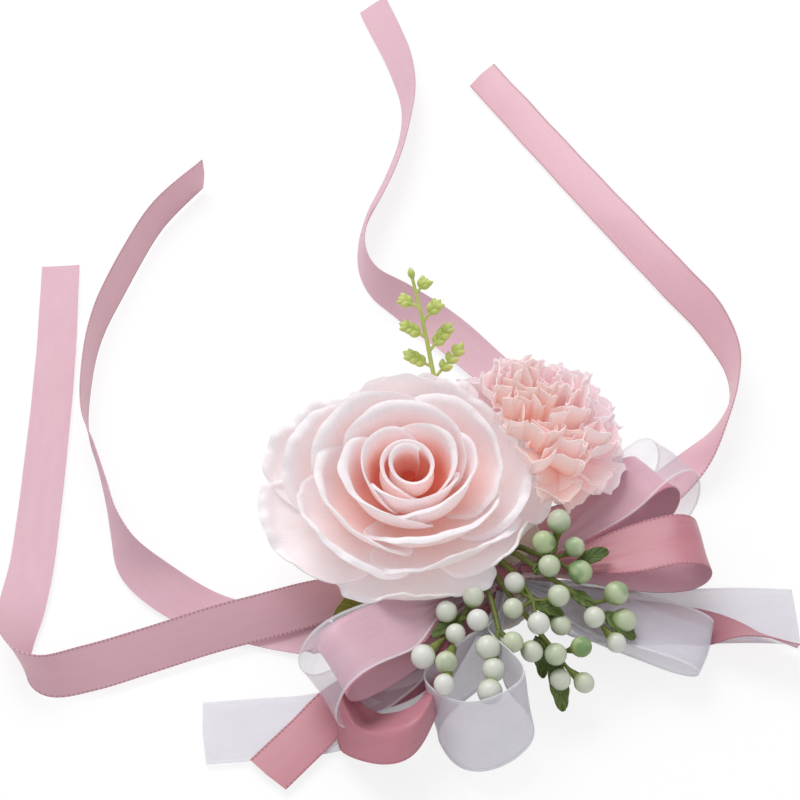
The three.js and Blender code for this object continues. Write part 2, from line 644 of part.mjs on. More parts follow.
// Bow tails: a fixed run from the knot and a loose end past the hinge line

const BOW_TAILS = [ // hingeAt is the station where the loose end starts
  {
    name: "bow_tail_organza_left", sheer: true, hingeAt: 3,
    stations: [
      [1, -12.5, SEAT_Z, 0], [-3.6, -18, SEAT_Z - TAIL_DIP, 0], [-8.4, -24, 3.6, 0],
      [-11.8, -29.5, 1.4, 0], [-22, -37.5, 0.6, 0], [-33, -41, 0.5, 0], [-44, -42, 0.5, 0],
      [-56, -43, 0.5, 0],
    ],
  },
  {
    name: "bow_tail_satin_left", hingeAt: 3,
    stations: [
      [1, -13.2, SATIN_TAIL_Z, 0], [-3.6, -18.4, SATIN_TAIL_Z - TAIL_DIP, 0], [-8.6, -24.2, 4.5, 0],
      [-11.5, -29.9, 3.2, 0], [-26.5, -36, 2.7, 0], [-34, -44, 2, 0], [-42, -52.6, 1.4, 0],
    ],
  },
  {
    name: "bow_tail_organza_right", sheer: true, hingeAt: 2,
    stations: [
      [11.6, -12.6, SEAT_Z, 0], [16, -13, SEAT_Z - TAIL_DIP, 0], [26, -14.4, 1, 0], [40, -15, 0.5, 0],
      [62, -14.6, 0.5, 0], [72.4, -15, 0.5, 0],
    ],
  },
  {
    name: "bow_tail_satin_right", hingeAt: 2,
    stations: [
      [11.6, -13, SATIN_TAIL_Z, 0], [16, -13.6, SATIN_TAIL_Z - TAIL_DIP, 0], [26, -15.4, 2, 0],
      [40, -16.6, 1.4, 0], [52, -19, 1.3, 10], [61, -22, 1.4, 50], [70, -25.4, 1.3, 62],
    ],
  },
];
for (const { name, sheer, hingeAt, stations } of BOW_TAILS) {
  const width = sheer ? ORGANZA_WIDTH : SATIN_WIDTH;
  const thickness = sheer ? ORGANZA_THICKNESS : SATIN_THICKNESS;
  const colour = sheer ? COLOUR.organza : COLOUR.satin;
  const split = hingeAt / (stations.length - 1);
  const route = new THREE.CatmullRomCurve3(stations.map(([x, y, z]) => new THREE.Vector3(x, y, z)));
  const nearby = split + 1e-3;
  const pace = route.getPoint(nearby).distanceTo(route.getPoint(split)) / (nearby - split);
  const half = halfHinge / pace;
  const fixed = trailFrames(stations, width, thickness, 6, { to: split - half, gatherOver: split });
  const loose = trailFrames(stations, width, thickness, 10, { from: split + half });
  addPiece(corsage, name + "_root", ribbon(fixed, thickness), colour, 0.5);
  addPiece(corsage, name, ribbon(loose, thickness), colour, 0.5);
}

// Leaf under the rose

function leafBlade() {
  const start = new THREE.Vector3(...LEAF_ROOT);
  const length = new THREE.Vector3(...LEAF_TIP).sub(start);
  const side = new THREE.Vector3().crossVectors(length, UP).setLength(LEAF_WIDTH / 2);
  const point = (u, v) => {
    const outline = Math.sqrt(Math.max(0, Math.sin(Math.PI * lerp(0.06, 0.97, v))));
    const lift = LEAF_ARCH * Math.sin(Math.PI * v) - LEAF_CUP * (1 - Math.abs(u));
    return start.clone()
      .addScaledVector(length, v)
      .addScaledVector(side, u * outline)
      .addScaledVector(UP, lift);
  };
  return thickPatch(point, [-1, 0, 1], evenly(0, 1, 6), LEAF_THICKNESS);
}

addPiece(arrangement, "rose_leaf", leafBlade(), COLOUR.leaf);

// A twig's stem, standing on the glue
function standing([[x, y], ...rest]) {
  return [[x, y, TWIG_RADIUS / 2], ...rest];
}

// Sprig of small buds behind the rose

function bud(at, towards) {
  const aim = new THREE.Quaternion().setFromUnitVectors(UP, towards);
  const profile = [[0, 0], [SPRIG_BUD_RADIUS, 0.45 * SPRIG_BUD_LENGTH], [0, SPRIG_BUD_LENGTH]];
  return lathe(profile, 5).applyQuaternion(aim).translate(...at.toArray());
}

function budTwiglet(from, towards, length) {
  const tip = from.clone().addScaledVector(towards, length);
  const middle = from.clone().lerp(tip, 0.55);
  const hinge = new THREE.Vector3().crossVectors(towards, UP).cross(towards).normalize();
  const turned = (degrees) => towards.clone().applyAxisAngle(hinge, radians(degrees));
  return [
    tube([from, tip].map((p) => p.toArray()), BUD_STALK_RADIUS, 1, 4),
    bud(tip.clone().addScaledVector(towards, -BUD_SINK), towards),
    bud(middle, turned(BUD_SPREAD)),
    bud(middle, turned(-BUD_SPREAD)),
  ];
}

function sprig() {
  const stem = standing(SPRIG_STEM);
  const stemPath = new THREE.CatmullRomCurve3(stem.map((p) => new THREE.Vector3(...p)));
  const pieces = [tube(stem, TWIG_RADIUS, 6, 5)];
  SPRIG_TWIGLETS.forEach(([along, turn, length]) => {
    const growth = stemPath.getTangent(along);
    const side = new THREE.Vector3(1, 0, 0).applyAxisAngle(growth, radians(turn));
    pieces.push(...budTwiglet(stemPath.getPoint(along), growth.add(side).normalize(), length));
  });
  const growth = stemPath.getTangent(1);
  pieces.push(bud(stemPath.getPoint(1).addScaledVector(growth, -BUD_SINK), growth));
  return joined(pieces);
}

addPiece(arrangement, "bud_sprig", sprig(), COLOUR.sprig);

// Berry twigs fanning out over the knot

function berryTwig({ stem, berries }) {
  const route = standing(stem);
  const fork = new THREE.Vector3(...route.at(-1));
  const pieces = [tube(route, TWIG_RADIUS, 5, 5)];
  for (const place of berries) {
    const berry = new THREE.Vector3(...place);
    const middle = fork.clone().lerp(berry, 0.5).addScaledVector(UP, -STALK_SAG);
    const ball = new THREE.SphereGeometry(BERRY_RADIUS, 8, 5).rotateX(Math.PI / 2);
    pieces.push(tube([fork, middle, berry].map((p) => p.toArray()), STALK_RADIUS, 3, 4));
    pieces.push(ball.translate(...place));
  }
  return joined(pieces);
}

for (const twig of BERRY_TWIGS) {
  addPiece(arrangement, twig.name, berryTwig(twig), COLOUR.berry, 0.4);
}

export default corsage;
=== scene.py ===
# %% [markdown]
# # A wrist corsage
# A wrist corsage is a small pad of fabric flowers with ribbons that tie it on. The CAD frame holds its
# pieces, sizes and joints. This lesson dresses each of them as cloth, petals, twigs and berries. Work is
# in millimetres here and turned into Blender's metres when a mesh is made, with +Z up out of the
# flowers and the origin under the middle of the felt pad, as in the CAD model.

# %% Load the frame
import math

import bpy
import numpy as np
from mathutils import Matrix, Vector


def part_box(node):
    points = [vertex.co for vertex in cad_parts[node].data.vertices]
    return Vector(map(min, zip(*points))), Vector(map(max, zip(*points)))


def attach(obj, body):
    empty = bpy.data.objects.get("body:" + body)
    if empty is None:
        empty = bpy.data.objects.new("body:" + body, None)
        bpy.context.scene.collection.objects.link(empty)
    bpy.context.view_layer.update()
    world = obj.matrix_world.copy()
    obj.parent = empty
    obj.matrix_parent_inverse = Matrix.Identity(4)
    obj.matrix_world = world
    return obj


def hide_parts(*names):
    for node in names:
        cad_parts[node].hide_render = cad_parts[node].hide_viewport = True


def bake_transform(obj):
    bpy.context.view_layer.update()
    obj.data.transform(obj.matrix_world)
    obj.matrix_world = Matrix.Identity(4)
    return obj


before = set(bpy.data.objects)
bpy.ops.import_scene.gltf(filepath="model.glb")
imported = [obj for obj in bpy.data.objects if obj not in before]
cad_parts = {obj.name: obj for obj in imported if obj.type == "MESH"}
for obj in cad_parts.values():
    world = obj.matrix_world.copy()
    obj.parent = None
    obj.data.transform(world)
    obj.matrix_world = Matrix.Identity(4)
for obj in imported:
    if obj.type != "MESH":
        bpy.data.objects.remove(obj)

MM = 0.001  # metres in a millimetre
TURN = 2 * math.pi
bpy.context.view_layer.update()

# %% [markdown]
# ## Smooth routes
# A ribbon lies along a route: a list of stations, with the cloth rolled about its own
# length at each. Blender's curves could hold that, but a ribbon that is level here and on edge there is
# easier to steer as numbers, so a small centripetal Catmull-Rom spline runs through the stations. It
# doesn't overshoot where two of them lie close together.

# %% Splines and small sums


def unit(vectors):
    return vectors / np.maximum(np.linalg.norm(vectors, axis=-1, keepdims=True), 1e-9)


def smooth(start, end, value):
    share = np.clip((value - start) / (end - start), 0, 1)
    return share * share * (3 - 2 * share)


def lerp(a, b, share):
    return a + (b - a) * share


def spline(stations):
    """A smooth curve through stations whose first three columns are x, y and z, for shares 0 to 1."""
    p = np.asarray(stations, float)
    padded = np.vstack([2 * p[0] - p[1], p, 2 * p[-1] - p[-2]])
    pace = np.sqrt(np.linalg.norm(np.diff(padded[:, :3], axis=0), axis=1))

    def at(share):
        place = np.clip(np.asarray(share, float), 0, 1) * (len(p) - 1)
        i = np.minimum(place.astype(int), len(p) - 2)
        w = (place - i)[..., None]
        before, here, there, after = (padded[i + k] for k in range(4))
        d0, d1, d2 = (pace[i + k][..., None] for k in range(3))
        leave = d1 * ((here - before) / d0 - (there - before) / (d0 + d1) + (there - here) / d1)
        arrive = d1 * ((there - here) / d1 - (after - here) / (d1 + d2) + (after - there) / d2)
        step = there - here
        return here + w * (leave + w * (3 * step - 2 * leave - arrive + w * (leave + arrive - 2 * step)))

    return at


def lengths(points):
    """Distance along a line of points, from its start."""
    return np.concatenate([[0], np.cumsum(np.linalg.norm(np.diff(points, axis=0), axis=1))])


def read_at(known, table, wanted):
    """Rows of a table known at some distances, read at others."""
    return np.stack([np.interp(wanted, known, column) for column in table.T], axis=-1)


def crumple(points, size, seed):
    """Smooth random heights, about -1 to 1, that change over a size in millimetres."""
    draw = np.random.default_rng(seed)
    total = 0
    for _ in range(6):
        way = unit(draw.normal(size=points.shape[-1])) * draw.uniform(0.6, 1.6) * TURN / size
        total = total + np.sin(points @ way + draw.uniform(0, TURN))
    return total / 3


# %% [markdown]
# ## Cloth as thin closed shells
# Ribbons, petals and leaves are all thin sheets. A plane with a Solidify modifier would do, but each
# side of a satin ribbon has its own finish, so the shell is written directly: a grid of points on the
# middle of the cloth gives a front, a back and the cut edge between them. UVs hold millimetres across
# and along the cloth, so that weaves keep their size, and a tint attribute carries what a petal's colour
# follows.

# %% The cloth maker


class Cloth:
    """Thin closed shells gathered into one mesh. The front faces along across x along."""

    def __init__(self, name):
        self.name = name
        self.points, self.uv, self.tint, self.quads, self.side = [], [], [], [], []
        self.count = 0

    def add(self, middle, uv, thickness, tint=(0, 0, 0)):
        rows, columns = middle.shape[:2]
        normal = unit(np.cross(np.gradient(middle, axis=1), np.gradient(middle, axis=0)))
        tint = np.broadcast_to(tint, middle.shape)
        for offset in (thickness / 2, -thickness / 2):
            self.points.append((middle + offset * normal).reshape(-1, 3))
            self.uv.append(uv.reshape(-1, 2))
            self.tint.append(tint.reshape(-1, 3))
        f, b = self.count + np.arange(2 * rows * columns).reshape(2, rows, columns)
        self.count += 2 * rows * columns
        self.faces(0, f[:-1, :-1], f[:-1, 1:], f[1:, 1:], f[1:, :-1])
        self.faces(1, b[:-1, :-1], b[1:, :-1], b[1:, 1:], b[:-1, 1:])
        self.faces(0, f[0, 1:], f[0, :-1], b[0, :-1], b[0, 1:])
        self.faces(0, f[1:, -1], f[:-1, -1], b[:-1, -1], b[1:, -1])
        self.faces(0, f[-1, :-1], f[-1, 1:], b[-1, 1:], b[-1, :-1])
        self.faces(0, f[:-1, 0], f[1:, 0], b[1:, 0], b[:-1, 0])

    def faces(self, side, *corners):
        quads = np.stack(corners, axis=-1).reshape(-1, 4)
        self.quads.append(quads)
        self.side.append(np.full(len(quads), side))

    def build(self, front, back=None):
        mesh = bpy.data.meshes.new(self.name)
        mesh.from_pydata((np.concatenate(self.points) * MM).tolist(), [], np.concatenate(self.quads).tolist())
        corner = np.empty(len(mesh.loops), np.int32)
        mesh.loops.foreach_get("vertex_index", corner)
        mesh.uv_layers.new(name="cloth").data.foreach_set("uv", np.concatenate(self.uv)[corner].ravel())
        tint = mesh.attributes.new("tint", "FLOAT_VECTOR", "POINT")
        tint.data.foreach_set("vector", np.concatenate(self.tint).astype(np.float32).ravel())
        mesh.materials.append(front)
        mesh.materials.append(back or front)
        mesh.polygons.foreach_set("material_index", np.concatenate(self.side).astype(np.int32))
        mesh.shade_smooth()
        mesh.set_sharp_from_angle(angle=math.radians(60))
        return link(self.name, mesh)


def link(name, mesh):
    made = bpy.data.objects.new(name, mesh)
    bpy.context.scene.collection.objects.link(made)
    print(name, len(mesh.vertices), "points,", 2 * len(mesh.polygons), "triangles")
    return made


# %% [markdown]
# ## Wires for shader maths
# A finish is a small network of nodes. Dragging links is slow to read back, so a Wire wraps one output
# socket, and sums on wires add Math nodes. Colours go through Mix, because a Math node would turn them
# grey. The same Wire builds Geometry Nodes later.

# %% The Wire class


class Wire:
    """An output socket of a node tree; arithmetic on it adds Math nodes."""

    def __init__(self, tree, socket=None):
        self.tree, self.socket = tree, socket

    def plug(self, socket, value):
        if isinstance(value, Wire):
            self.tree.links.new(value.socket, socket)
        else:
            socket.default_value = value

    def node(self, kind, settings=None, sockets=None, out=0):
        made = self.tree.nodes.new(kind)
        for key, value in (settings or {}).items():
            if key == "stops":
                for _ in value[2:]:
                    made.color_ramp.elements.new(0.5)
                for element, (place, colour) in zip(made.color_ramp.elements, value):
                    element.position, element.color = place, colour
            else:
                setattr(made, key, value)
        for key, value in (sockets or {}).items():
            self.plug(made.inputs[key], value)
        return Wire(self.tree, made.outputs[out])

    def math(self, operation, *values):
        return self.node("ShaderNodeMath", {"operation": operation}, dict(enumerate(values)))

    def __add__(self, other):
        return self.math("ADD", self, other)

    def __sub__(self, other):
        return self.math("SUBTRACT", self, other)

    def __rsub__(self, other):
        return self.math("SUBTRACT", other, self)

    def __mul__(self, other):
        return self.math("MULTIPLY", self, other)

    def __pow__(self, other):
        return self.math("POWER", self, other)

    __radd__, __rmul__ = __add__, __mul__

    def wave(self, length):
        """0 to 1 and back over each length."""
        return 0.5 + 0.5 * self.math("SINE", self * (TURN / length))

    def rises(self, start, end):
        """0 below start, 1 above end, and smooth between."""
        return self.node("ShaderNodeMapRange", {"interpolation_type": "SMOOTHSTEP"},
                         {"Value": self, "From Min": start, "From Max": end})

    def mix(self, a, b):
        """Colour a where this is 0, b where it is 1."""
        return self.node("ShaderNodeMix", {"data_type": "RGBA"}, {0: self, 6: a, 7: b}, out=2)

    def ramp(self, *stops):
        return self.node("ShaderNodeValToRGB", {"stops": stops}, {0: self})

    def parts(self):
        return [self.node("ShaderNodeSeparateXYZ", None, {0: self}, out=i) for i in range(3)]

    def cloth(self):
        """Millimetres across and along the cloth."""
        return self.node("ShaderNodeUVMap", {"uv_map": "cloth"}).parts()[:2]

    def attribute(self, name, out="Vector"):
        return self.node("ShaderNodeAttribute", {"attribute_name": name}, out=out)

    def noise(self, scale, detail=3.0, at=None):
        """Cloudy values 0 to 1. The scale is per metre on Object coordinates, or per unit of at."""
        at = at or self.node("ShaderNodeTexCoord", out="Object")
        return self.node("ShaderNodeTexNoise", None, {"Vector": at, "Scale": scale, "Detail": detail})

    def vector(self, x, y, z=0.0):
        return self.node("ShaderNodeCombineXYZ", None, {0: x, 1: y, 2: z})


def srgb(red, green, blue):
    """Screen values 0 to 255 as the linear colour that shaders use."""
    c = np.array([red, green, blue]) / 255
    linear = np.where(c <= 0.04045, c / 12.92, ((c + 0.055) / 1.055) ** 2.4)
    return (*linear.tolist(), 1.0)


def finish(name, paint, **constants):
    """A material: paint gives the sockets that vary, Height in millimetres among them."""
    made = bpy.data.materials.new(name)
    made.use_nodes = True
    shader = made.node_tree.nodes["Principled BSDF"]
    for socket, value in constants.items():
        shader.inputs[socket.replace("_", " ")].default_value = value
    wire = Wire(made.node_tree)
    for socket, value in paint(wire).items():
        if socket == "Height":
            value = wire.node("ShaderNodeBump", None, {"Distance": MM, "Height": value})
            socket = "Normal"
        wire.plug(shader.inputs[socket], value)
    return made


# %% [markdown]
# ## Ribbon finishes
# The wrist ribbon is single-faced satin: one side is smooth and catches the light along its length, the
# other is a paler, matt twill. Its woven edge has a row of tiny dots. The bow's satin, its tails and its
# knot are painted a deeper pink, which is painted shade, and the satin that lines the organza loops is
# painted a lighter pink, which is painted light against the shade under the organza. Organza is a sheer
# white gauze, denser at its selvedge and where the tint attribute says so. All of these follow the
# cloth's own millimetres rather than space, so the weave bends with the ribbon.

# %% Satin, twill and organza
SATIN_WIDTH = 10.0
BOW_SATIN_WIDTH = 13.0
ORGANZA_WIDTH = 14.0
PICOT_PITCH = 0.95
TWILL_PITCH = 0.8
SATIN_SELVEDGE, ORGANZA_SELVEDGE = 0.55, 0.7  # width of the woven edge
WRIST_PICOT, BOW_PICOT = 0.5, 0.3  # how strongly it is dotted

WRIST_PINK, WRIST_SHADE = srgb(232, 184, 197), srgb(225, 173, 186)
# painted shade: a darker pink for the bow's satin, its tails and its knot
BOW_PINK_PAINTED_SHADE, BOW_STREAK_PAINTED_SHADE = srgb(206, 136, 149), srgb(192, 120, 134)
# painted light: a lighter pink for the satin inside the organza loops, against the shade under the organza
LINING_PINK_PAINTED_LIGHT, LINING_STREAK_PAINTED_LIGHT = srgb(244, 170, 189), srgb(228, 150, 169)
PICOT_PINK = srgb(150, 94, 106)
TWILL_PINK, TWILL_LINE = srgb(235, 194, 207), srgb(214, 169, 184)
ORGANZA_WHITE, ORGANZA_EDGE = srgb(233, 229, 240), srgb(243, 241, 248)


def edge_of(across, width, band):
    """1 within a band along both edges of a ribbon."""
    from_edge = across.math("MINIMUM", across, width - across)
    return 1 - from_edge.rises(band * 0.6, band)


def satin_face(pink, shade, width, picot):
    """The smooth face of a ribbon; picot says how strongly its edge is dotted."""

    def paint(wire):
        across, along = wire.cloth()
        streak = wire.noise(1.0, 3.0, wire.vector(across * 1.2, along * 0.1))
        dots = edge_of(across, width, SATIN_SELVEDGE) * along.wave(PICOT_PITCH)
        return {
            "Base Color": (dots * picot).mix(streak.mix(shade, pink), PICOT_PINK),
            "Roughness": 0.36 + 0.12 * streak + 0.2 * dots,
            "Height": 0.025 * streak + 0.1 * dots,
        }

    return paint


def twill_back(wire):
    across, along = wire.cloth()
    diagonal = (across + along * 0.8).wave(TWILL_PITCH)
    cloud = wire.noise(0.5, 3.0, wire.vector(across, along * 0.2))
    return {
        "Base Color": (diagonal * 0.15 + cloud * 0.35).mix(TWILL_PINK, TWILL_LINE),
        "Roughness": 0.62 + 0.15 * cloud,
        "Height": 0.02 * diagonal + 0.03 * cloud,
    }


def organza_gauze(wire):
    across, along = wire.cloth()
    density = wire.attribute("tint").parts()[0]
    edge = edge_of(across, ORGANZA_WIDTH, ORGANZA_SELVEDGE)
    cloud = wire.noise(0.3, 4.0, wire.vector(across, along * 0.25))
    return {
        "Base Color": edge.mix(ORGANZA_WHITE, ORGANZA_EDGE),
        "Roughness": 0.4 + 0.2 * cloud,
        "Alpha": density + 0.2 * edge + 0.16 * (cloud - 0.5),
        "Height": 0.06 * cloud,
    }


SHINE = {"Sheen_Weight": 0.15, "Specular_IOR_Level": 0.7, "Anisotropic": 0.5}
wrist_face = satin_face(WRIST_PINK, WRIST_SHADE, SATIN_WIDTH, WRIST_PICOT)
# painted shade: the bow's loops and the satin tails take the darker pink
bow_face_painted_shade = satin_face(BOW_PINK_PAINTED_SHADE, BOW_STREAK_PAINTED_SHADE, BOW_SATIN_WIDTH, BOW_PICOT)
# painted light: the linings take the lighter pink
lining_face_painted_light = satin_face(LINING_PINK_PAINTED_LIGHT, LINING_STREAK_PAINTED_LIGHT, BOW_SATIN_WIDTH, BOW_PICOT)
tail_face_painted_shade = satin_face(BOW_PINK_PAINTED_SHADE, BOW_STREAK_PAINTED_SHADE, SATIN_WIDTH, BOW_PICOT)
satin = finish("satin_face", wrist_face, **SHINE)
bow_satin_painted_shade = finish("bow_satin_face_painted_shade", bow_face_painted_shade, **SHINE)
lining_satin_painted_light = finish("lining_satin_face_painted_light", lining_face_painted_light, **SHINE)
tail_satin_painted_shade = finish("tail_satin_face", tail_face_painted_shade, **SHINE)
twill = finish("twill_back", twill_back, Sheen_Weight=0.1)
organza = finish("organza_gauze", organza_gauze, Sheen_Weight=0.1)
print("ribbon finishes", satin.name, bow_satin_painted_shade.name, twill.name, organza.name)

# %% [markdown]
# ## Petal, leaf and twig finishes
# Pressed fabric petals are dyed: pale at the rim and warmer towards the base, where light is also
# trapped between them. The tint attribute says how near a point is to the rim and how its petal mixes
# two colour ramps: by nearness to the heart in the rose, and by the side it stands on in the carnation.
# Fine creases run from base to rim. The petals also give off a faint glow of their own colour, painted
# light for the light that comes through thin cloth.

# %% Petals
ROSE_PALE = [(0.0, srgb(238, 200, 190)), (0.3, srgb(246, 222, 219)), (0.55, srgb(249, 234, 236)),
             (0.8, srgb(251, 242, 246)), (1.0, srgb(251, 244, 249))]
ROSE_WARM = [(0.0, srgb(236, 112, 78)), (0.42, srgb(238, 136, 112)), (0.6, srgb(246, 184, 172)),
             (0.74, srgb(250, 216, 213)), (0.88, srgb(251, 236, 239)), (1.0, srgb(251, 242, 245))]
ROSE_BACK_PALE = [(0.0, srgb(244, 216, 198)), (0.5, srgb(249, 231, 221)), (0.85, srgb(250, 240, 236)),
                  (1.0, srgb(251, 243, 243))]
ROSE_BACK_WARM = [(0.0, srgb(232, 134, 114)), (0.34, srgb(246, 190, 178)), (0.58, srgb(250, 220, 217)),
                  (0.86, srgb(251, 234, 236)), (1.0, srgb(251, 242, 245))]
CARNATION_PEACH = [(0.0, srgb(212, 92, 80)), (0.4, srgb(243, 166, 146)), (0.75, srgb(250, 206, 194)),
                   (1.0, srgb(252, 226, 222))]
CARNATION_PINK = [(0.0, srgb(222, 112, 120)), (0.35, srgb(246, 194, 200)), (0.7, srgb(251, 225, 232)),
                  (1.0, srgb(253, 241, 247))]
# painted glow: the petals emit a little light of their own colour
PAINTED_PETAL_GLOW = 0.1  # light that comes through thin cloth


def petal_paint(zero, one):
    """Two ramps from base to rim, for petals whose share is 0 and for those whose share is 1."""

    def paint(wire):
        rim, share, chance = wire.attribute("tint").parts()
        across, along = wire.cloth()
        crease = wire.noise(1.0, 4.0, wire.vector(across * 1.3, along * 0.16, chance * 40))
        mottle = wire.noise(0.22, 3.0, wire.vector(across, along, chance * 40))
        place = rim + 0.16 * (mottle - 0.5) + 0.08 * (crease - 0.5)
        dye = share.mix(place.ramp(*zero), place.ramp(*one))
        return {
            "Base Color": dye,
            # painted glow: the dye also lights the petal a little
            "Emission Color": dye,
            "Roughness": 0.66 + 0.2 * crease,
            "Height": 0.22 * crease + 0.1 * mottle,
        }

    return paint


CLOTH_SHEEN_AND_PAINTED_GLOW = {"Sheen_Weight": 0.1, "Specular_IOR_Level": 0.25, "Emission_Strength": PAINTED_PETAL_GLOW,
               "Subsurface_Weight": 0.35, "Subsurface_Radius": (1.0, 0.7, 0.65), "Subsurface_Scale": 2 * MM}
rose_inside = finish("rose_petal_inside", petal_paint(ROSE_PALE, ROSE_WARM), **CLOTH_SHEEN_AND_PAINTED_GLOW)
rose_outside = finish("rose_petal_outside", petal_paint(ROSE_BACK_PALE, ROSE_BACK_WARM), **CLOTH_SHEEN_AND_PAINTED_GLOW)
carnation_cloth = finish("carnation_petal", petal_paint(CARNATION_PEACH, CARNATION_PINK), **CLOTH_SHEEN_AND_PAINTED_GLOW)
print("petal finishes", rose_inside.name, rose_outside.name, carnation_cloth.name)

# %% [markdown]
# Leaves, stalks and berries are moulded plastic with a soft shine. The berries ripen from white to
# green, each by its own amount, and stay greener where they join their stalks.

# %% Greens and berries


def leaf_paint(dark, pale, vein):
    """Greens for a blade whose tint is 0 on the midrib and 1 at the edges."""

    def paint(wire):
        along = wire.cloth()[1]
        middle = wire.attribute("tint").parts()[0]
        veins = (along - middle * 3.2).wave(2.1)
        cloud = wire.noise(160.0)
        rib = 1 - middle.rises(0.05, 0.14)
        return {
            "Base Color": (rib * 0.6 + (veins ** 6) * 0.35).mix(cloud.mix(dark, pale), vein),
            "Roughness": 0.42 + 0.2 * cloud,
            "Height": 0.25 * (veins ** 3) + 0.15 * cloud + 0.2 * rib,
        }

    return paint


def stalk_paint(wire):
    cloud = wire.noise(420.0)
    return {
        "Base Color": cloud.mix(srgb(78, 92, 30), srgb(150, 160, 82)),
        "Roughness": 0.4 + 0.25 * cloud,
        "Height": 0.12 * cloud,
    }


def berry_paint(wire):
    ripe = wire.attribute("ripe", "Fac")
    tip = wire.attribute("tip", "Fac")
    cloud = wire.noise(260.0)
    flesh = ripe.ramp((0.0, srgb(234, 235, 230)), (0.4, srgb(216, 222, 200)), (0.75, srgb(176, 198, 140)),
                      (1.0, srgb(128, 168, 88)))
    foot = (1 - tip.rises(-1.0, 0.3)) * 0.9 + 0.3 * (cloud - 0.5)
    patch = wire.noise(170.0, 1.0).rises(0.5, 0.62) * ripe.rises(0.25, 0.9) * 0.85
    return {
        "Base Color": patch.mix(foot.mix(flesh, srgb(150, 172, 100)), srgb(72, 128, 54)),
        "Roughness": 0.3 + 0.2 * cloud,
        "Height": 0.08 * cloud,
    }


def sprig_paint(wire):
    cloud = wire.noise(300.0)
    tip = wire.attribute("tip", "Fac")
    return {
        "Base Color": (cloud * 0.7 + 0.3 * tip.rises(-0.6, 1.0)).mix(srgb(170, 192, 76), srgb(228, 234, 150)),
        "Roughness": 0.4 + 0.2 * cloud,
        "Height": 0.1 * cloud,
    }


def calyx_paint(wire):
    """Green outside, and coral where the peg stands inside the rose."""
    green = stalk_paint(wire)
    height = wire.node("ShaderNodeTexCoord", out="Object").parts()[2]
    low, high = (corner[2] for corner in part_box("rose_calyx"))
    green["Base Color"] = height.rises(lerp(low, high, 0.4), lerp(low, high, 0.5)).mix(
        green["Base Color"], srgb(214, 84, 54))
    return green


LEAF_GREENS = srgb(104, 118, 34), srgb(158, 156, 56), srgb(186, 186, 92)  # dark, pale and vein
TWIG_LEAF_GREENS = srgb(56, 82, 34), srgb(112, 130, 62), srgb(136, 152, 84)
leaf_green = finish("leaf_green", leaf_paint(*LEAF_GREENS))
twig_leaf_green = finish("twig_leaf_green", leaf_paint(*TWIG_LEAF_GREENS))
calyx_green = finish("calyx_green", calyx_paint)
stalk_green = finish("stalk_green", stalk_paint)
berry_skin = finish("berry_skin", berry_paint, Coat_Weight=0.25, Coat_Roughness=0.2)
sprig_green = finish("sprig_green", sprig_paint)
print("plant finishes", leaf_green.name, stalk_green.name, berry_skin.name, sprig_green.name)

# %% [markdown]
# Felt, card and hot-melt glue make the pad. They hardly show, but someone who turns the corsage over
# sees the felt, so it gets matted fibres, and the glue the milky lumps of a set bead.

# %% Pad finishes


def felt_paint(wire):
    fibre = wire.noise(900.0, 6.0)
    cloud = wire.noise(120.0)
    return {
        "Base Color": (fibre * 0.6 + cloud * 0.4).mix(srgb(226, 210, 208), srgb(248, 240, 238)),
        "Roughness": 0.85 + 0.1 * fibre,
        "Height": 0.3 * fibre,
    }


def card_paint(wire):
    fibre = wire.noise(500.0, 5.0)
    return {
        "Base Color": fibre.mix(srgb(232, 227, 214), srgb(248, 245, 238)),
        "Roughness": 0.7 + 0.15 * fibre,
        "Height": 0.05 * fibre,
    }


def glue_paint(wire):
    cloud = wire.noise(150.0, 2.0)
    return {
        "Base Color": cloud.mix(srgb(224, 216, 192), srgb(244, 240, 226)),
        "Roughness": 0.2 + 0.25 * cloud,
        "Height": 0.2 * cloud,
    }


felt = finish("felt_fibres", felt_paint, Sheen_Weight=0.5)
card = finish("card_stock", card_paint)
glue = finish("set_glue", glue_paint, Coat_Weight=0.3)
print("pad finishes", felt.name, card.name, glue.name)

# %% [markdown]
# ## Wrist ribbons
# Two ribbons run under the card and come out as four ends. The lower ribbon is folded over at two
# corners, as one folds a strip of paper, so its other side shows beyond the fold.

# %% Ribbon sizes and routes
RIBBON_CLOTH = 0.22  # thickness of the cloth
SOLID_SATIN, SOLID_ORGANZA = 0.5, 0.4  # thickness of the CAD ribbons, whose middle the cloth keeps
ROW_STEP = 1.0  # along a ribbon, between rows of points
COLUMNS = 16
CUP = 0.2  # how far a ribbon's middle stands above its edges
FOLD_RADIUS, FOLD_STEP = 0.35, 0.5  # of the roll at a fold, and between rows of points there
FOLD_RUN, AFTER_FOLD = 8.0, 9.0  # past a fold's corner: end of the folded strip, and the next station
CRUMPLE_HEIGHT, CRUMPLE_SIZE = 0.1, 22
LOOSE = (30, 60)  # from the pad's middle, where crumpling begins and where it is full
BEND_REACH = 6.0  # half a length about a wrist end's hinge; the points worked out from it are not used
MIDDLE_GAP = 0.15  # half the gap between the two halves of a ribbon under the pad
UPPER_Z, LOWER_Z = (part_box(band)[0][2] / MM for band in ("tie_upper_band", "tie_lower_band"))
UPPER_HEADING, REAR_HEADING = math.radians(20.9), math.radians(132.7)
LEFT_HINGE_X, RIGHT_HINGE, REAR_HINGE = -28.0, 29.0, 8.0
LEFT_FOLD, REAR_FOLD = np.array([-25.0, -22.4]), np.array([23.0, 40.0])
LEFT_SLOPE = -0.267


def heading(angle):
    return np.array([math.cos(angle), math.sin(angle)])


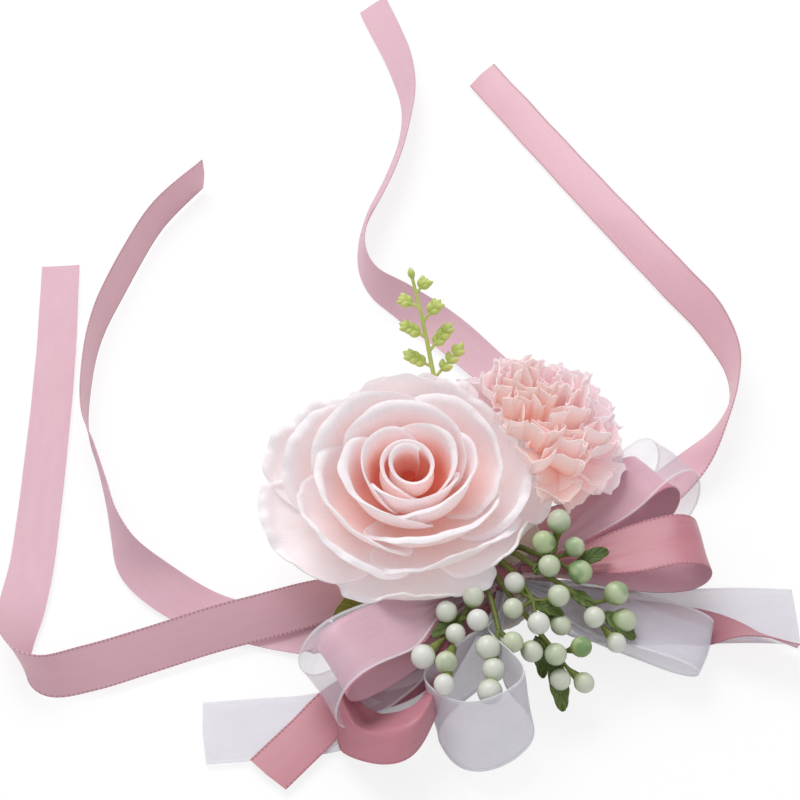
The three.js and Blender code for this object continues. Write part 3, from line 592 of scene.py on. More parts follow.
upper_way, rear_way = heading(UPPER_HEADING), heading(REAR_HEADING)
left_way = unit(np.array([-1.0, -LEFT_SLOPE]))
left_reach = LEFT_HINGE_X / upper_way[0]
ties = [
    dict(name="left_front", band="tie_upper_band", fold=None, slant=-0.4,
         hinge=(LEFT_HINGE_X, -14.5, LOWER_Z), out=(-1.0, 0.0),
         route=[[*(-MIDDLE_GAP * upper_way), UPPER_Z, 0], [*(left_reach / 2 * upper_way), UPPER_Z, 0],
                [*(left_reach * upper_way), UPPER_Z, 0],
                [-34, -13.3, 2, 18], [-42, -16.6, 1.7, 36], [-55, -20.5, 1.2, 40], [-68.5, -25.3, 0.8, 40],
                [-81, -29.8, 0.8, 42], [-89.5, -31.8, 0.4, 60], [-95, -29, 0.4, 90],
                [-97.8, -22, 0.5, 128], [-98.2, -13, 0.5, 158], [-98.6, 0, 0.4, 178],
                [-100.5, 30, 0.4, 180], [-103, 60, 0.4, 180], [-107, 95, 0.4, 180]]),
    dict(name="left_rear", band="tie_lower_band", fold=(LEFT_FOLD, left_way), slant=2.0,
         hinge=(LEFT_HINGE_X, -14.5, LOWER_Z), out=(-1.0, 0.0),
         route=[[*(LEFT_FOLD + AFTER_FOLD * left_way), 1.0, 0],
                [-43.5, -17.8, 0.4, 0], [-57, -14, 0.4, 2], [-67.2, -9, 0.4, 22],
                [-75.8, -2, 0.4, 52], [-80, 6, 0.5, 74], [-83.2, 15.5, 0.5, 82], [-87, 26, 0.5, 87],
                [-91, 36, 0.5, 91], [-92.9, 50, 0.5, 93], [-92.7, 68, 0.5, 96], [-88.4, 88, 0.5, 101],
                [-81.5, 110, 0.5, 97], [-70.7, 127.5, 0.5, 88]]),
    dict(name="rear", band=None, fold=(REAR_FOLD, rear_way), slant=-2.0,
         hinge=(*(REAR_FOLD + REAR_HINGE * rear_way), LOWER_Z), out=rear_way,
         route=[[*(REAR_FOLD + AFTER_FOLD * rear_way), 1.6, 0],
                [8, 56.5, 1.4, 6], [-3, 68, 0.9, 30], [-14, 77, 0.6, 60], [-21.5, 83.5, 0.6, 78],
                [-25, 92, 0.6, 80], [-25, 103, 0.4, 74], [-22, 115, 0.4, 62], [-17, 131, 0.4, 64],
                [-13.5, 148, 0.4, 70], [-12.5, 162, 0.5, 66], [-15, 180, 0.5, 52], [-24, 212.5, 0.4, 32]]),
    dict(name="right", band=None, fold=None, slant=-1.5,
         hinge=(*(RIGHT_HINGE * upper_way), UPPER_Z), out=upper_way,
         route=[[*(MIDDLE_GAP * upper_way), UPPER_Z, 0], [*(RIGHT_HINGE / 2 * upper_way), UPPER_Z, 0],
                [*(RIGHT_HINGE * upper_way), UPPER_Z, 0],
                [36, 13.6, 1.2, 0], [44.5, 17.5, 0.4, 4], [54, 25.5, 0.4, 26], [62, 35.5, 0.6, 68],
                [67, 45.5, 0.6, 86], [68.5, 56, 0.4, 80], [65.5, 70, 0.4, 60], [57, 88, 0.4, 38],
                [41, 118, 0.4, 28], [10, 176, 0.4, 28]]),
]
print(len(ties), "wrist ends")

# %% [markdown]
# A trail samples a route into centre points and directions across the cloth. Reading it at a distance
# that depends on the place across the ribbon gives the slanted cut at its end.

# %% Strips along a route
UP = np.array([0.0, 0.0, 1.0])


def trail(route, width, thickness):
    """Distances, centres and directions across, along stations of x, y, underside and roll in degrees."""
    stations = np.array(route, float)
    roll = np.radians(stations[:, 3])
    stations[:, 2] += (width * np.sin(roll) + thickness * np.abs(np.cos(roll))) / 2
    fine = spline(stations)(np.linspace(0, 1, 50 * len(stations)))
    centre, roll = fine[:, :3], np.radians(fine[:, 3:])
    along = unit(np.gradient(centre, axis=0))
    level = unit(np.cross(along, UP))
    across = level * np.cos(roll) + np.cross(level, along) * np.sin(roll)
    return lengths(centre), centre, across


def strip(known, centre, across, places, width, slant=0.0, flip=1):
    """A grid of points on the ribbon at distances, cut aslant at its end. flip turns its face over."""
    total = known[-1]
    share = np.linspace(-0.5, 0.5, COLUMNS)
    place = places[:, None] * (1 - slant * share / total)
    side = read_at(known, across, place)
    along = read_at(known, unit(np.gradient(centre, axis=0)), place)
    middle = read_at(known, centre, place)
    crown = CUP * (1 - 4 * share**2)[None, :, None]
    return middle + flip * share[None, :, None] * width * side + crown * flip * np.cross(side, along)


def mm_uv(places, width):
    """UVs in millimetres for rows at distances along a ribbon."""
    across = np.linspace(0, width, COLUMNS)
    return np.stack(np.broadcast_arrays(across[None, :], places[:, None]), axis=-1)


# %% [markdown]
# A folded corner: the strip runs straight towards the corner, and every point past the fold line is
# carried round a small roll and back underneath, so its direction is mirrored in that line.

# %% Folded corners


def folded(corner, way_out, z, run_in, run_out):
    """Rows of a flat strip that arrives from the pad's middle and leaves turned over beneath itself."""
    way_in = unit(corner)
    crease = unit(way_in + way_out)
    away = np.array([-crease[1], crease[0]])
    away = away if away @ way_in > 0 else -away
    places = np.arange(-run_in, run_out + FOLD_STEP / 5, FOLD_STEP)
    share = np.linspace(-0.5, 0.5, COLUMNS) * SATIN_WIDTH
    side = np.array([way_in[1], -way_in[0]])
    flat = corner + places[:, None, None] * way_in + share[None, :, None] * side
    past = (flat - corner) @ away
    half_roll = math.pi * FOLD_RADIUS
    turned = np.clip(past, 0, half_roll) / FOLD_RADIUS
    rolled = np.where(past < half_roll, FOLD_RADIUS * np.sin(turned), half_roll - past)
    reach = np.where(past < 0, past, rolled)
    flat = flat + (reach - past)[..., None] * away
    height = z + SOLID_SATIN / 2 - FOLD_RADIUS * (1 - np.cos(turned))
    return np.concatenate([flat, height[..., None]], axis=-1), places + run_in


# %% [markdown]
# Now the strips become cloth. An end with a fold starts as its folded corner and goes on as its trail,
# with its face turned over. A little crumpling keeps the satin from looking like sheet metal.

# %% Make the wrist ribbons


def wrist_ribbon(tie):
    """A grid of points over one wrist end, and its UVs."""
    known, centre, across = trail(tie["route"], SATIN_WIDTH, SOLID_SATIN)
    places = np.linspace(0, known[-1], int(known[-1] / ROW_STEP))
    if tie["fold"] is None:
        middle = strip(known, centre, across, places, SATIN_WIDTH, tie["slant"])
        return middle, mm_uv(places, SATIN_WIDTH)
    corner, way_out = tie["fold"]
    run_in = np.linalg.norm(corner) - MIDDLE_GAP
    start, start_places = folded(corner, way_out, LOWER_Z, run_in, FOLD_RUN)
    loose = strip(known, centre, across, places[2:], SATIN_WIDTH, tie["slant"], flip=-1)
    places = np.concatenate([start_places, start_places[-1] + places[2:]])
    return np.concatenate([start, loose]), mm_uv(places, SATIN_WIDTH)


for tie in ties:
    middle, uv = wrist_ribbon(tie)
    from_pad = np.linalg.norm(middle[..., :2], axis=-1)
    middle[..., 2] += CRUMPLE_HEIGHT * crumple(middle, CRUMPLE_SIZE, 3) * smooth(*LOOSE, from_pad)
    cloth = Cloth("ribbon_" + tie["name"])
    cloth.add(middle, uv, RIBBON_CLOTH)
    ribbon = cloth.build(satin, twill)
    hinge, out = np.array(tie["hinge"]), np.array([*tie["out"], 0.0])
    body = "tie_" + tie["name"]
    (hinge - BEND_REACH * out) * MM
    (hinge + BEND_REACH * out) * MM
    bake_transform(ribbon)
    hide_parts(*[node for node in (body, tie["band"]) if node])

# %% [markdown]
# ## Bow tails
# Four tails leave the knot gathered, spread to their full width and lie on the table: organza below,
# satin on top. Gathered cloth doesn't shrink, so the missing width goes into pleats that die out along
# the tail.

# %% Gathers and tails
GATHERED_WIDTH = 2.5  # of a ribbon at the knot
PLEATS = 3
GLUE_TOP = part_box("glue_bed")[1][2] / MM
LAYER_GAP = 0.3  # between layers that lie on each other
SEAT = GLUE_TOP + LAYER_GAP
TAIL_BEND_REACH = 4.0  # half a length about a tail's hinge; the points worked out from it are not used
TAIL_DENSITY = 0.46


def pleat(middle, fullness, width):
    """Folds that take up the width lost where cloth is gathered, along the cloth's own normal."""
    normal = unit(np.cross(np.gradient(middle, axis=1), np.gradient(middle, axis=0)))
    share = np.linspace(0, 1, middle.shape[1])
    depth = 0.5 * (width - GATHERED_WIDTH) * (1 - fullness) / (4 * PLEATS)
    return middle + normal * (depth[:, None] * np.cos(TURN * PLEATS * share)[None, :])[..., None]


SATIN_TAIL = SEAT + SOLID_ORGANZA + LAYER_GAP
left_bend = dict(hinge_at=3, hinge=(-11.7, -29.7, 1.4), out=(-0.705, -0.709))
right_bend = dict(hinge_at=2, hinge=(26, -14.4, 1.0), out=(0.994, -0.108))
tails = [  # hinge_at is the station by which a tail has its full width; spread brings that nearer
    dict(name="organza_left", sheer=True, **left_bend, slant=-1.5,
         route=[[1, -12.5, SEAT, 0], [-3.6, -18, SEAT - 0.2, 0], [-8.4, -24, 3.6, 0], [-11.8, -29.5, 1.4, 0],
                [-22, -37.5, 0.6, 0], [-33, -41, 0.5, 0], [-44, -42, 0.5, 0], [-56, -43, 0.5, 0]]),
    dict(name="satin_left", sheer=False, **left_bend, slant=-1.0,
         route=[[1, -13.2, SATIN_TAIL, 0], [-3.6, -18.4, SATIN_TAIL - 0.2, 0], [-8.6, -24.2, 4.2, 0],
                [-11.5, -29.9, 2.3, 0], [-26.5, -36, 1.3, 0], [-34, -44, 1.2, 0], [-42, -52.6, 1.0, 0]]),
    dict(name="organza_right", sheer=True, **right_bend, slant=0.0, spread=0.5,
         route=[[11.6, -12.6, SEAT, 0], [16, -13, SEAT - 0.2, 0], [26, -14.4, 1, 0], [40, -15, 0.5, 0],
                [62, -14.6, 0.5, 0], [72.4, -15, 0.5, 0]]),
    dict(name="satin_right", sheer=False, **right_bend, slant=0.0,
         route=[[11.6, -13, SATIN_TAIL, 0], [16, -13.6, SATIN_TAIL - 0.2, 0], [26, -15.4, 2, 0],
                [40, -16.6, 1.4, 0], [52, -19, 1.3, 10], [61, -22, 1.4, 50], [70, -25.4, 1.3, 62]]),
]


def bow_tail(tail):
    """A grid of points over one tail, its UVs and its width."""
    width = ORGANZA_WIDTH if tail["sheer"] else SATIN_WIDTH
    known, centre, across = trail(tail["route"], width, SOLID_ORGANZA if tail["sheer"] else SOLID_SATIN)
    places = np.linspace(0, known[-1], int(known[-1] / ROW_STEP))
    full_at = known[-1] * tail["hinge_at"] / (len(tail["route"]) - 1)
    fullness = smooth(0, full_at * tail.get("spread", 1.0), places)
    middle = strip(known, centre, across, places, width, tail["slant"])
    spine = read_at(known, centre, places)[:, None, :]
    middle = spine + (middle - spine) * lerp(GATHERED_WIDTH / width, 1, fullness)[:, None, None]
    return pleat(middle, fullness, width), mm_uv(places, width), width


for tail in tails:
    middle, uv, width = bow_tail(tail)
    cloth = Cloth("tail_" + tail["name"])
    cloth.add(middle, uv, RIBBON_CLOTH, (TAIL_DENSITY, 0, 0))
    # painted shade on the satin tails, from the bow's darker pink
    made = cloth.build(organza) if tail["sheer"] else cloth.build(tail_satin_painted_shade, twill)
    hinge, out = np.array(tail["hinge"]), np.array([*tail["out"], 0.0])
    body = "bow_tail_" + tail["name"]
    (hinge - TAIL_BEND_REACH * out) * MM
    (hinge + TAIL_BEND_REACH * out) * MM
    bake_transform(made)
    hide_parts(body, body + "_root")
    width * MM

# %% [markdown]
# ## Bow loops
# A loop is a ribbon that goes out from the knot and comes back. Its side view is a teardrop, given by
# one formula: the reach follows a cosine and the opening a sine, which pinches both ends at the knot.
# Leaning the plane of the teardrop turns the loop on its side. A neck keeps the cloth gathered for
# longer, a waist keeps the two limbs together before they open to a ring, fan sets them side by side,
# and back leans the end's top edge towards the knot. Some organza loops have a satin loop inside them.

# %% Loop shapes
KNOT = np.array([8.0, -11.0])
KNOT_RADIUS, KNOT_HEIGHT, KNOT_GAP = 3.0, 6.0, 0.3
PINCH, LINED_PINCH = 1.1, 3.0  # gap between the limbs at the knot
WAIST_RUN = 0.5  # share of the reach over which limbs with a waist open
LOOP_ROWS = 130
loops = [
    dict(name="organza_left", tip=(-31.7, -39, 5.8), drop=1.8, opening=15, lean=4, pinch=LINED_PINCH,
         neck=0.25, flare=2.2, fan=-5),
    dict(name="satin_left_lining", tip=(-29, -34.9, 6.2), drop=1.8, opening=9, lean=4, neck=0.25, flare=2.2,
         fan=-2.4),
    dict(name="satin_front", tip=(-22.6, -45, 4.2), drop=5, opening=23, lean=54, flare=2.2,
         bulb=3.0, back=0.75),
    dict(name="organza_front", tip=(-0.6, -48.8, 4.4), drop=3.6, opening=20, lean=72, neck=0.1, flare=2.2,
         waist=0.36, back=0.5),
    dict(name="organza_right_rear", tip=(49, 16.8, 6), drop=2.9, opening=16, lean=10, pinch=LINED_PINCH),
    dict(name="satin_right_rear_lining", tip=(44, 13.6, 5.8), drop=2.9, opening=11, lean=10),
    dict(name="satin_right", tip=(51, -6.4, 7.4), drop=0, opening=10.4, lean=2, bulb=2.2),
    dict(name="organza_right_front", tip=(50, -26.4, 0.2), drop=3.2, opening=4.6, lean=4, flare=2.2),
]
LEFT_BERRIES = [[0.3, -20.5, 11.1], [1, -26, 11.1], [-3.5, -28, 9.1], [-5.2, -22.9, 9.2], [-10.2, -33.6, 9.6],
                [-5.6, -35, 9.8], [-6.1, -40.1, 10]]  # above the seat, lying on the front loop
density = {"organza_left": 0.24, "organza_front": 0.55,
           "organza_right_rear": 0.2, "organza_right_front": 0.42}


def bow_loop(tip, drop, opening, lean, width, bulb=2.5, waist=None, flare=1.4, pinch=PINCH, neck=0.0, fan=0.0,
             back=0.0):
    """A grid of points round the loop, the distances along it and how far the cloth has spread.

    The limbs part slowly by bulb or, with a waist, stay together up to that share and then open to a ring.
    neck is the share that stays gathered, fan moves the two limbs sideways and back leans the end's top edge
    towards the knot.
    """
    tip = np.array(tip, float)
    beside = KNOT + (KNOT_RADIUS + KNOT_GAP) * unit(tip[:2] - KNOT)
    start = np.array([*beside, KNOT_HEIGHT - drop])
    out = unit(tip - start)
    left = unit(np.cross(UP, out))
    tilt = math.radians(lean)
    apart = np.cross(out, left) * math.cos(tilt) + left * math.sin(tilt)
    across = np.cross(out, apart)
    s = np.linspace(0, 1, LOOP_ROWS)[:, None]
    reach = (1 - np.cos(TURN * s)) / 2
    parting = reach**bulb if waist is None else smooth(waist, waist + WAIST_RUN, reach)
    spread = np.sin(TURN * s) * parting
    spread = opening / 2 * spread / spread.max() + pinch / 2 * np.cos(math.pi * s)
    centre = start + reach * np.linalg.norm(tip - start) * out + spread * apart + SEAT * UP
    centre = centre + fan * np.cos(math.pi * s) * reach * left
    fullness = smooth(neck, neck + (1 - neck) / flare, reach[:, 0])
    share = np.linspace(-0.5, 0.5, COLUMNS)
    wide = lerp(GATHERED_WIDTH, width, fullness)
    from_spine = (wide[:, None] * share)[..., None]
    middle = centre[:, None, :] + from_spine * (across - back * reach[:, None] * out)
    return middle, lengths(centre), fullness


# %% [markdown]
# The front satin loop lies under the loop to its left and under the berries, and over the tails. A
# cloth simulation would find its place, but slowly. Here each point is lowered until it is under a
# cover of points that slopes upwards on all sides. All loops are softly crumpled.

# %% Make the loops
COVER_SLOPE, COVER_EASE = 1.2, 1
OVER_TAILS = 1.9  # lowest height of the front loop, over the tails that pass under it
BERRY_FOOT = 2.7  # from a berry's middle to the cloth under it
LOOP_CRUMPLE, LOOP_CRUMPLE_SIZE = 0.35, 16


def lie_under(points, cover):
    """Points lowered under a cover of points, easing off beside it, and kept above the tails."""
    flat = points.reshape(-1, 3)
    beside = np.linalg.norm(flat[:, None, :2] - cover[None, :, :2], axis=-1)
    excess = flat[:, 2] - (cover[:, 2] + COVER_SLOPE * beside).min(axis=1)
    lower = flat[:, 2] - (excess + np.sqrt(excess**2 + COVER_EASE)) / 2
    return np.stack([*flat[:, :2].T, np.maximum(lower, OVER_TAILS)], axis=-1).reshape(points.shape)


berry_feet = np.array(LEFT_BERRIES) + (SEAT - BERRY_FOOT) * UP
grids = {}
for order, loop in enumerate(loops):
    shape = {key: value for key, value in loop.items() if key != "name"}
    sheer = "organza" in loop["name"]
    width = ORGANZA_WIDTH if sheer else BOW_SATIN_WIDTH
    middle, places, fullness = bow_loop(width=width, **shape)
    normal = unit(np.cross(np.gradient(middle, axis=1), np.gradient(middle, axis=0)))
    middle = pleat(middle, fullness, width)
    crumpled = LOOP_CRUMPLE * crumple(middle, LOOP_CRUMPLE_SIZE, order) * fullness[:, None]
    middle = middle + normal * crumpled[..., None]
    grids[loop["name"]] = middle
    if loop["name"] == "satin_front":
        lower_limb = grids["organza_left"][LOOP_ROWS * 5 // 8:LOOP_ROWS * 7 // 8].reshape(-1, 3)
        middle = lie_under(middle, np.vstack([berry_feet, lower_limb]))
    cloth = Cloth("loop_" + loop["name"])
    cloth.add(middle, mm_uv(places, width), RIBBON_CLOTH, (density.get(loop["name"], 0), 0, 0))
    # painted light on the linings' satin, painted shade on the other satin loops
    face = lining_satin_painted_light if "lining" in loop["name"] else bow_satin_painted_shade
    made = cloth.build(organza) if sheer else cloth.build(face, twill)
    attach(made, "corsage")
    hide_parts("bow_" + loop["name"])
    width * MM

# %% [markdown]
# ## Knot
# The knot is a short length of satin wound round the gathered loops. A pleated drum with a rounded top
# reads as wound cloth, and it is one grid of points bent into a ring.

# %% Wound knot


def lathe_grid(profile, columns, ripple):
    """Rings of points round +Z from a profile of radius and height, with ripple(angle, share) added."""
    profile = np.array(profile, float)
    angle = np.linspace(0, TURN, columns, endpoint=False)
    share = np.linspace(0, 1, len(profile))
    radius = profile[:, :1] * (1 + ripple(angle[None, :], share[:, None]))
    height = np.broadcast_to(profile[:, 1:], radius.shape)
    return np.stack([radius * np.cos(angle), radius * np.sin(angle), height], axis=-1)


def lathe_object(name, rings, material):
    """A closed solid from rings, with a flat fan at each end."""
    rows, columns = rings.shape[:2]
    points = np.vstack([rings.reshape(-1, 3), rings[0].mean(axis=0), rings[-1].mean(axis=0)])
    index = np.arange(rows * columns).reshape(rows, columns)
    after = np.roll(index, -1, axis=1)
    quads = np.stack([index[:-1], after[:-1], after[1:], index[1:]], axis=-1).reshape(-1, 4).tolist()
    low, high = rows * columns, rows * columns + 1
    fans = [[after[0, i], index[0, i], low] for i in range(columns)]
    fans += [[index[-1, i], after[-1, i], high] for i in range(columns)]
    mesh = bpy.data.meshes.new(name)
    mesh.from_pydata((points * MM).tolist(), [], quads + fans)
    mesh.materials.append(material)
    mesh.shade_smooth()
    mesh.set_sharp_from_angle(angle=math.radians(70))
    return link(name, mesh)


def rounded(radius, low, high, corner, steps=6):
    """A profile with rounded edges, from the lower edge up to the upper one."""
    turn = np.linspace(0, math.pi / 2, steps)
    lower = [(radius - corner + corner * math.sin(a), low + corner - corner * math.cos(a)) for a in turn]
    upper = [(radius - corner + corner * math.cos(a), high - corner + corner * math.sin(a)) for a in turn]
    return lower + upper


rings = lathe_grid(rounded(KNOT_RADIUS, 0, KNOT_HEIGHT, 1.2), 64,
                   lambda angle, share: 0.05 * np.sin(9 * angle + 5 * share) * np.sin(math.pi * share))
# painted shade: the knot takes the bow's darker pinks
knot_satin_painted_shade = finish("knot_satin_painted_shade", lambda wire: {
    "Base Color": wire.noise(300.0).mix(BOW_STREAK_PAINTED_SHADE, BOW_PINK_PAINTED_SHADE), "Height": 0.1 * wire.noise(500.0)})
knot = lathe_object("wound_knot", rings + np.array([*KNOT, SEAT]), knot_satin_painted_shade)
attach(knot, "corsage")
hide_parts("bow_knot")

# %% [markdown]
# ## Rose
# A fabric rose is petals threaded on a peg, ring after ring, round a rolled bud. Each petal here is its
# own sheet: it follows the cup of its ring, lies over its neighbour like a pinwheel, and its rim rolls
# outwards. The rolled rim is made by turning the direction of travel along the petal and adding up the
# steps, which keeps the cloth's length.

# %% Rose petals
PETAL_CLOTH = 0.35
PEG = 1.7
PETAL_ROWS, PETAL_COLUMNS = 40, 56
HALF_CALYX = 3  # half the calyx's radius, by which the lean lifts the rose
ROSE_LEAN, ROSE_DEPTH = math.radians(8), 0.9
ROSE_PLACE = np.array([-13.0, 8.0, SEAT + HALF_CALYX * math.sin(ROSE_LEAN)])
ROSE_SEAT, RING_PITCH = 6.3, 1.1  # height of the lowest ring, and from ring to ring
rose_rings = [
    dict(name="outer", petals=6, rim=30.2, rise=8.6, roll=1.4, turn=0, wrap=1.5, swirl=1.0, frill=2.0),
    dict(name="fourth", petals=5, rim=24.6, rise=13, roll=1.5, turn=40, wrap=1.5, swirl=1.3, frill=1.3),
    dict(name="third", petals=4, rim=19.2, rise=15, roll=1.5, turn=75, wrap=1.5, swirl=1.5, frill=0.7),
    dict(name="second", petals=3, rim=13.8, rise=15.5, roll=1.2, turn=30, wrap=1.5, swirl=1.4, frill=0.5),
    dict(name="inner", petals=3, rim=9.4, rise=15, roll=0.8, turn=95, wrap=1.5, swirl=1.1, frill=0.3),
]


def cup_line(rim, rise, seat, roll, cut=1.0, curl=2.1, steps=80):
    """Evenly spaced radius and height along a petal cut to a share of its cup, its rim rolled outwards."""
    t = np.linspace(0, 1, steps)[:, None]
    corners = (PEG, seat), (0.7 * rim, seat), (rim, seat + 0.35 * rise), (rim, seat + rise)
    a, b, c, d = (np.array(corner) for corner in corners)
    line = (1 - t) ** 3 * a + 3 * t * (1 - t) ** 2 * b + 3 * t**2 * (1 - t) * c + t**3 * d
    known = lengths(line)
    keep = cut * known[-1] - 0.9 * roll
    travel = np.linspace(0, keep + roll * curl, steps)
    angle = np.unwrap(np.arctan2(*np.gradient(line, axis=0).T[::-1]))
    angle = np.interp(np.minimum(travel, keep), known, angle) - np.maximum(travel - keep, 0) / roll
    step = np.diff(travel)[:, None] * np.stack([np.cos(angle), np.sin(angle)], axis=-1)[:-1]
    return np.vstack([a, a + np.cumsum(step, axis=0)])


def rose_to_part(points):
    """From the rose's own frame to the part's: squeezed front to back, then leant to the front."""
    x, y, z = points[..., 0], points[..., 1] * ROSE_DEPTH, points[..., 2]
    c, s = math.cos(ROSE_LEAN), math.sin(ROSE_LEAN)
    return np.stack([x, y * c - z * s, y * s + z * c], axis=-1) + ROSE_PLACE


def rose_petal(ring, seat, number, draw):
    """A grid of points over one petal, its UVs and how near each point is to the rim."""
    u = np.linspace(-1, 1, PETAL_COLUMNS)
    v = np.linspace(0, 1, PETAL_ROWS) ** 0.85
    phase = draw.uniform(0, TURN, 4)
    rim, rise = ring["rim"] * draw.uniform(0.97, 1.03), ring["rise"] * draw.uniform(0.92, 1.06)
    cut = 0.4 + 0.6 * np.sqrt(1 - np.abs(u) ** 3) + 0.03 * np.exp(-((u / 0.2) ** 2))
    ragged = np.sin(6 * u + phase[0]) + 0.6 * np.sin(15 * u + phase[1]) + 0.4 * np.sin(34 * u + phase[2])
    cut = cut + 0.013 * ring["frill"] * ragged
    curl = 1.7 - 0.9 * u**2 + 0.6 * np.sin(3 * u + phase[2])
    lines = [cup_line(rim, rise, seat, ring["roll"], *shape) for shape in zip(cut, curl)]
    share = np.linspace(0, 1, len(lines[0]))
    radius, height = (np.stack([np.interp(v, share, line[:, i]) for line in lines], axis=1) for i in (0, 1))
    u, v = u[None, :], v[:, None]
    radius = radius + ring["swirl"] * u * v + 0.45 * ring["frill"] * np.sin(3.4 * u + phase[3]) * v**3
    height = height + 0.5 * ring["frill"] * (1 + np.sin(4.3 * u + phase[0])) * v**4
    height = height + 0.22 * ring["frill"] * np.sin(13 * u + phase[1]) * v**6
    span = TURN / ring["petals"]
    place = number + 0.5 + ring["wrap"] * u / 2 + draw.uniform(-0.07, 0.07)
    angle = math.radians(ring["turn"]) + span * place
    points = np.stack(np.broadcast_arrays(radius * np.cos(angle), radius * np.sin(angle), height), axis=-1)
    uv = np.stack(np.broadcast_arrays(u * rim * span * ring["wrap"] / 2, v * (rim + rise)), axis=-1)
    return points, uv, np.broadcast_to(v, points.shape[:2])


def tint_of(rim, share, chance):
    """Nearness to the rim, share of the second colour ramp and a chance, for every point."""
    return np.stack(np.broadcast_arrays(rim, share, chance), axis=-1)


# %% [markdown]
# The twigs sway, so the lowest ring leaves them room. Its petals stand a little higher where the twigs
# come out from under the rose, and are drawn in beside the two upper berries. The carnation's ruffles
# are eased away from the same berries.

# %% Room for the twigs
TWIG_MOUTH, MOUTH_SIZE, MOUTH_LIFT = np.array([5.0, -11.5]), 9.0, 2.5
DRAW_DEPTH, DRAW_SIZE = 3.0, 5.5
BERRY_ROOM = [  # middle and radius of the room for two berries, each at rest and raised
    ((15.6, -9.2, 21.4), 2.9), ((14.4, -8.1, 22.4), 3.0),
    ((19, -4.5, 22.4), 2.9), ((17.7, -3.3, 23.5), 3.0),
]


def make_room(points):
    """Points eased out of the balls in which the upper berries sway."""
    for centre, radius in BERRY_ROOM:
        away = points - centre
        distance = np.linalg.norm(away, axis=-1, keepdims=True)
        points = centre + away / distance * (distance**4 + radius**4) ** 0.25
    return points


def draw_in(points):
    """The rim of the lowest petals drawn in towards the rose where the upper berries sway."""
    for centre, _ in BERRY_ROOM[1::2]:
        away = np.linalg.norm(points - centre, axis=-1, keepdims=True)
        inwards = unit((ROSE_PLACE - centre) * (1, 1, 0))
        points = points + DRAW_DEPTH * np.exp(-((away / DRAW_SIZE) ** 2)) * inwards
    return points


def lift_over_twigs(points):
    """The lowest petals stand a little higher where the twigs come out from under them."""
    from_mouth = np.linalg.norm(points[..., :2] - TWIG_MOUTH, axis=-1)
    return points + (MOUTH_LIFT * np.exp(-((from_mouth / MOUTH_SIZE) ** 2)))[..., None] * UP


# %% [markdown]
# Each ring is one mesh. Its petals are softly dented, and dyed more warmly the nearer they are to the
# heart.

# %% Rings of petals
ROSE_SEED = 20
PETAL_DENT, DENT_SIZE = 0.25, 9
HEART_LAYER = 4.4  # counted from the outside, where the dye is warmest
for layer, ring in enumerate(rose_rings):
    draw = np.random.default_rng(ROSE_SEED + layer)
    heart = (layer / HEART_LAYER) ** 1.4
    cloth = Cloth("rose_" + ring["name"])
    for number in range(ring["petals"]):
        points, uv, rim = rose_petal(ring, ROSE_SEAT + RING_PITCH * layer, number, draw)
        dent = PETAL_DENT * crumple(points, DENT_SIZE, 7 * number) * rim**2
        points = rose_to_part(points + unit(points * [1, 1, 0]) * dent[..., None])
        if layer == 0:
            points = draw_in(lift_over_twigs(points))
        cloth.add(points, uv, PETAL_CLOTH, tint_of(rim, heart, draw.uniform()))
    petals = cloth.build(rose_outside, rose_inside)
    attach(petals, "corsage")
    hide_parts("rose_petals_" + ring["name"])

# %% [markdown]
# The bud is one long petal rolled into a tube, so it is a spiral: its radius grows with every turn. The
# tube stays open at the top, which is the dark eye of the rose.

# %% Rolled bud
BUD_SEAT, BUD_HEIGHT = 11.8, 13.2
BUD_EYE, BUD_OUTSIDE, BUD_TURNS = 3.4, 7.0, 1.7
BUD_ROLL = 0.7


def rolled_bud():
    """A grid of points over the rolled petal, its UVs and how near each point is to the rim."""
    turn = np.linspace(0, 1, 150)[None, :]
    v = np.linspace(0, 1, 48)[:, None]
    angle = TURN * BUD_TURNS * turn + 0.9
    body = np.clip(v / 0.8, 0, 1)
    rolled = 1.7 * np.clip(v / 0.8 - 1, 0, 0.25) / 0.25
    belly = 0.45 + 0.55 * smooth(0, 0.6, body) - 0.12 * smooth(0.6, 1.0, body)
    radius = lerp(BUD_EYE, BUD_OUTSIDE, turn) * belly + BUD_ROLL * (1 - np.cos(rolled))
    tall = BUD_HEIGHT * (0.95 - 0.16 * turn + 0.13 * np.sin(angle - 0.6) - 0.3 * smooth(0.9, 1.0, turn))
    height = BUD_SEAT + body * tall + BUD_ROLL * np.sin(rolled)
    points = np.stack(np.broadcast_arrays(radius * np.cos(angle), radius * np.sin(angle), height), axis=-1)
    uv = np.stack(np.broadcast_arrays(turn * 60, v * BUD_HEIGHT), axis=-1)
    return points, uv, np.broadcast_to(v, points.shape[:2])


points, uv, rim = rolled_bud()
cloth = Cloth("rose_rolled_bud")
cloth.add(rose_to_part(points), uv, PETAL_CLOTH, tint_of(rim, 0.8, 0.4))
bud = cloth.build(rose_outside, rose_inside)
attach(bud, "corsage")
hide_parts("rose_bud")

# %% [markdown]
# ## Carnation
# A carnation is a dome of fans with pinked, ruffled edges. Each fan starts narrow at the calyx, and its
# rim is longer than the arc it sits on, so it meanders: the wave moves sideways as well as in and out,
# which closes the ruffles into little tubes. Points that would enter the rose next to it are pushed out.

# %% Carnation frame and the rose's outside
CARNATION_HEAD = np.array([13.6, 18.6, SEAT + 7.2])
CARNATION_LEAN, CARNATION_TOWARDS = math.radians(16), math.radians(62)
RUFFLE_CLOTH = 0.2
lean_axis = Vector((-math.sin(CARNATION_TOWARDS), math.cos(CARNATION_TOWARDS), 0))
carnation_turn = np.array(Matrix.Rotation(CARNATION_LEAN, 3, lean_axis))
ROSE_OUTLINE = np.array([  # height in the rose's frame, and the radius kept free there
    [5, 7], [6, 23], [10.8, 32.6], [16.3, 32.6], [21.4, 27.6], [24.5, 22.2], [26.1, 16.4], [27.4, 11.0]])


